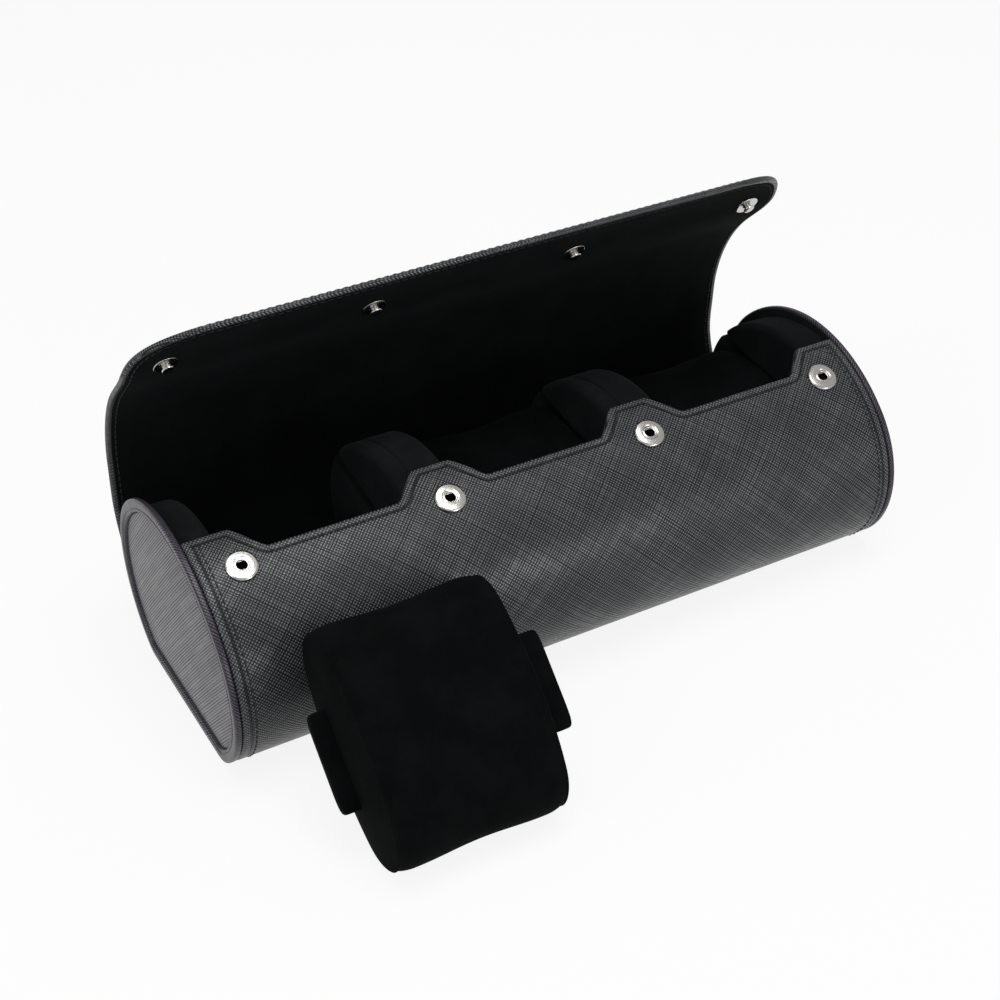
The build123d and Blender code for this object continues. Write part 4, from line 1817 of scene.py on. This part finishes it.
@dataclass
class Snaps(Assembly):
    """Four press studs: ringed sockets on the front wall and studs inside the lip."""

    smooth_angle: float = 35.0
    wire_half: tuple[float, float, float] = (2.0, 0.14, 0.14)
    wire_offset: float = 1.46
    wire_height: float = 0.42

    def build(self) -> list[bpy.types.Object]:
        """Builds the sockets, their springs and the studs."""
        sockets = self.section.at_snaps(revolved(self.socket_profile(), 56))
        springs = self.section.at_snaps(self.springs())
        studs = self.section.at_snaps(revolved(self.stud_profile(), 48))
        studs.points = self.section.opened(studs.points)
        made = []
        for name, shape, body, node in (
            ("snap_socket_rings", sockets, "case", "snap_sockets"),
            ("snap_spring_wires", springs, "case", "snap_springs"),
            ("snap_stud_heads", studs, "lip", "snap_studs"),
        ):
            piece = self.piece(name, shape, self.finishes.nickel, "nickel", self.smooth_angle)
            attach(piece, body)
            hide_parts(node)
            made.append(piece)
        return made

    def socket_profile(self) -> np.ndarray:
        """The pressed ring's closed (radius, height) section."""
        corners = [
            (2.6, -2.0),
            (2.95, -2.0),
            (2.95, -0.02),
            (4.9, -0.02),
            (5.0, 0.25),
            (4.85, 0.65),
            (4.4, 0.92),
            (3.4, 1.06),
            (2.75, 1.12),
            (2.5, 0.92),
            (2.25, 0.9),
            (1.95, 1.06),
            (1.7, 1.02),
            (1.56, 0.8),
            (1.64, 0.6),
            (2.2, 0.55),
            (2.6, 0.1),
        ]
        return softened_loop(corners, 0.12, 0.05)

    def stud_profile(self) -> np.ndarray:
        """The stud's closed (radius, height) section: flange, neck and domed head."""
        corners = [
            (0.02, -0.52),
            (1.1, -0.5),
            (1.75, -0.3),
            (1.95, 0.0),
            (1.75, 0.25),
            (1.3, 0.4),
            (1.25, 1.1),
            (1.7, 1.28),
            (3.7, 1.3),
            (4.0, 1.45),
            (4.0, 1.7),
            (1.0, 1.75),
            (1.0, 2.3),
            (0.02, 2.3),
        ]
        loop = softened_loop(corners, 0.1, 0.06)
        loop[:, 0] = np.maximum(loop[:, 0], 0.02)
        return loop

    def springs(self) -> Surface:
        """Two spring wires across a socket's bore."""
        places = [(0.0, sign * self.wire_offset, self.wire_height) for sign in (-1, 1)]
        return all_joined([rounded_box(place, self.wire_half, 3.0, 20) for place in places])


# ---- studio --------------------------------------------------------------------------------
@dataclass(frozen=True)
class Studio:
    """Camera, floor and lamps."""

    place: tuple[float, float, float] = (-0.24199, -0.44622, 0.38528)
    yaw: float = 28.267
    drop: float = 34.12
    roll: float = -1.341
    focal_pixels: float = 1881.2
    middle_pixel: tuple[float, float] = (509.3, 488.3)
    frame_pixels: float = 1000.0
    sensor: float = 36.0
    floor_half: float = 3000.0

    def camera(self) -> None:
        """Puts the camera where the photograph was taken from."""
        yaw, drop, roll = (math.radians(a) for a in (self.yaw, self.drop, self.roll))
        ahead = Vector(
            (math.sin(yaw) * math.cos(drop), math.cos(yaw) * math.cos(drop), -math.sin(drop))
        )
        right = Vector((math.cos(yaw), -math.sin(yaw), 0.0))
        up = right.cross(ahead)
        tilted_right = right * math.cos(roll) + up * math.sin(roll)
        tilted_up = up * math.cos(roll) - right * math.sin(roll)
        turn = Matrix((tilted_right, tilted_up, -ahead)).transposed().to_4x4()
        data = bpy.data.cameras.new("camera")
        data.sensor_fit = "HORIZONTAL"
        data.sensor_width = self.sensor
        data.lens = self.focal_pixels / self.frame_pixels * self.sensor
        data.shift_x = (self.frame_pixels / 2 - self.middle_pixel[0]) / self.frame_pixels
        data.shift_y = (self.middle_pixel[1] - self.frame_pixels / 2) / self.frame_pixels
        data.clip_start = 0.01
        made = bpy.data.objects.new("camera", data)
        made.matrix_world = Matrix.Translation(self.place) @ turn
        bpy.context.scene.collection.objects.link(made)
        bpy.context.scene.camera = made

    def floor(self) -> None:
        """A pale floor that looks white to the camera and in reflections, and keeps the shadow."""
        g = Graph("floor_paper")
        path = g.raw("ShaderNodeLightPath")
        seen = Socket(g, path.outputs["Is Camera Ray"])
        for name in ("Is Glossy Ray", "Is Transmission Ray"):
            seen = seen.most(Socket(g, path.outputs[name]))
        paper = g.surface(
            {"Base Color": (0.7, 0.7, 0.7, 1), "Roughness": 0.9, "Specular IOR Level": 0.1}
        )
        glow = g.node("ShaderNodeEmission", None, {"Color": (1, 1, 1, 1), "Strength": 1.0})
        shown = g.node("ShaderNodeMixShader", None, {0: seen * 0.88, 1: paper, 2: glow})
        material = g.finish(shown)
        corners = np.array([[-1, -1, 0], [1, -1, 0], [1, 1, 0], [-1, 1, 0]]) * self.floor_half
        made = make_object("floor", Surface(corners, np.array([[0, 1, 2, 3]])))
        made.location.z = -0.0004
        made.data.materials.append(material)

    def lamps(self) -> None:
        """Soft boxes above, at the left and low in front, and an even pale world."""
        world = bpy.data.worlds.new("studio")
        world.use_nodes = True
        world.node_tree.nodes["Background"].inputs["Color"].default_value = (1, 1, 1, 1)
        world.node_tree.nodes["Background"].inputs["Strength"].default_value = 0.5
        bpy.context.scene.world = world
        for name, place, aim, size, power in (
            ("top_box", (0.0, -0.15, 1.1), (0, 0, 0), 0.6, 7.0),
            ("left_box", (-1.0, -0.3, 0.7), (0, 0, 0.03), 0.6, 4.0),
            ("front_box", (0.28, -1.0, 0.26), (0, 0, 0.03), 0.4, 3.2),
        ):
            data = bpy.data.lights.new(name, "AREA")
            data.shape = "SQUARE"
            data.size = size
            data.energy = power
            lamp = bpy.data.objects.new(name, data)
            facing = (Vector(aim) - Vector(place)).to_track_quat("-Z", "Y")
            lamp.matrix_world = Matrix.Translation(place) @ facing.to_matrix().to_4x4()
            bpy.context.scene.collection.objects.link(lamp)


# ---- the whole case ------------------------------------------------------------------------
def pad_support(degrees: float) -> float:
    """How far a cushion's oval reaches from its middle in a direction."""
    if PAD.turn < abs(degrees) < 180 - PAD.turn:
        return PAD.crown_radius - PAD.crown_drop * abs(math.sin(math.radians(degrees)))
    return PAD.end_radius + PAD.end_y * abs(math.cos(math.radians(degrees)))


def leaning_place(sizes: CaseSizes) -> tuple[float, float, float]:
    """Middle of the cushion that stands on the table and leans on the front wall."""
    tilt = math.radians(sizes.lean_tilt)
    centre_z = pad_support(-90 - sizes.lean_tilt)
    apart = PAD.end_radius + sizes.side_radius + sizes.lean_gap
    rise = centre_z + PAD.end_y * math.sin(tilt) - sizes.spring_height
    across = math.sqrt(apart**2 - rise**2) + PAD.end_y * math.cos(tilt)
    return (sizes.lean_shift - sizes.pitch, -sizes.side_y - across, centre_z)


def suede_blocks(common: tuple) -> list[SuedeBlock]:
    """The two dividers and the two end collars."""
    z = SIZES
    near, far = z.compartment / 2, z.compartment / 2 + z.divider
    left, right = PAD.left_wing_v, PAD.right_wing_v
    low_slot, high_slot = (0.0, -1, left), (0.0, 1, right)
    left_slots, right_slots = (-z.pitch, -1, left), (z.pitch, 1, right)
    rows = (
        ("divider_left", -far, -near, True, True, -near - 12.0, [(-z.pitch, 1, right), low_slot]),
        ("divider_right", near, far, True, True, near + 6.0, [high_slot, (z.pitch, -1, left)]),
        ("end_block_left", -z.body_half, -z.block_face, False, True, None, [left_slots]),
        ("end_block_right", z.block_face, z.body_half, True, False, None, [right_slots]),
    )
    return [SuedeBlock(*common, *row) for row in rows]


def dress_hidden(paint: Paint, finishes: Finishes) -> None:
    """Finishes the CAD nodes that stay inside: boards, foam, caps and washers."""
    for name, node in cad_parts.items():
        if node.hide_render:
            continue
        if name.endswith("_foam"):
            paint.on(node, finishes.foam)
        elif name.startswith("snap_"):
            paint.on(node, finishes.nickel)
        else:
            paint.on(node, finishes.board)


def main() -> None:
    """Builds the case in order and reports each piece."""
    logging.basicConfig(level=logging.INFO, format="%(message)s")
    bpy.context.scene.view_settings.view_transform = "Standard"
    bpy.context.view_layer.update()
    paint, finishes = Paint(), Finishes()
    section = CaseSection(SIZES)
    common = (SIZES, section, paint, finishes)
    made = [*Wrap(*common).build(), *Flap(*common).build()]
    for sign in (-1, 1):
        made += EndCap(*common, sign).build()
    made += [block.build() for block in suede_blocks(common)]
    seats = {
        "cushion_left": (SIZES.lean_tilt, leaning_place(SIZES)),
        "cushion_middle": (SIZES.seat_tilt, (0.0, SIZES.seat_y, SIZES.seat_z)),
        "cushion_right": (SIZES.seat_tilt, (SIZES.pitch, SIZES.seat_y, SIZES.seat_z)),
    }
    for seed, (name, (turn, place)) in enumerate(seats.items(), FIRST_SEED):
        made += Cushion(*common, name, turn, place, seed).build()
    made += Snaps(*common).build()
    dress_hidden(paint, finishes)
    for piece in made:
        LOG.info("%s: %d faces", piece.name, len(piece.data.polygons))
    studio = Studio()
    studio.camera()
    studio.floor()
    studio.lamps()


if __name__ == "__main__":
    main()
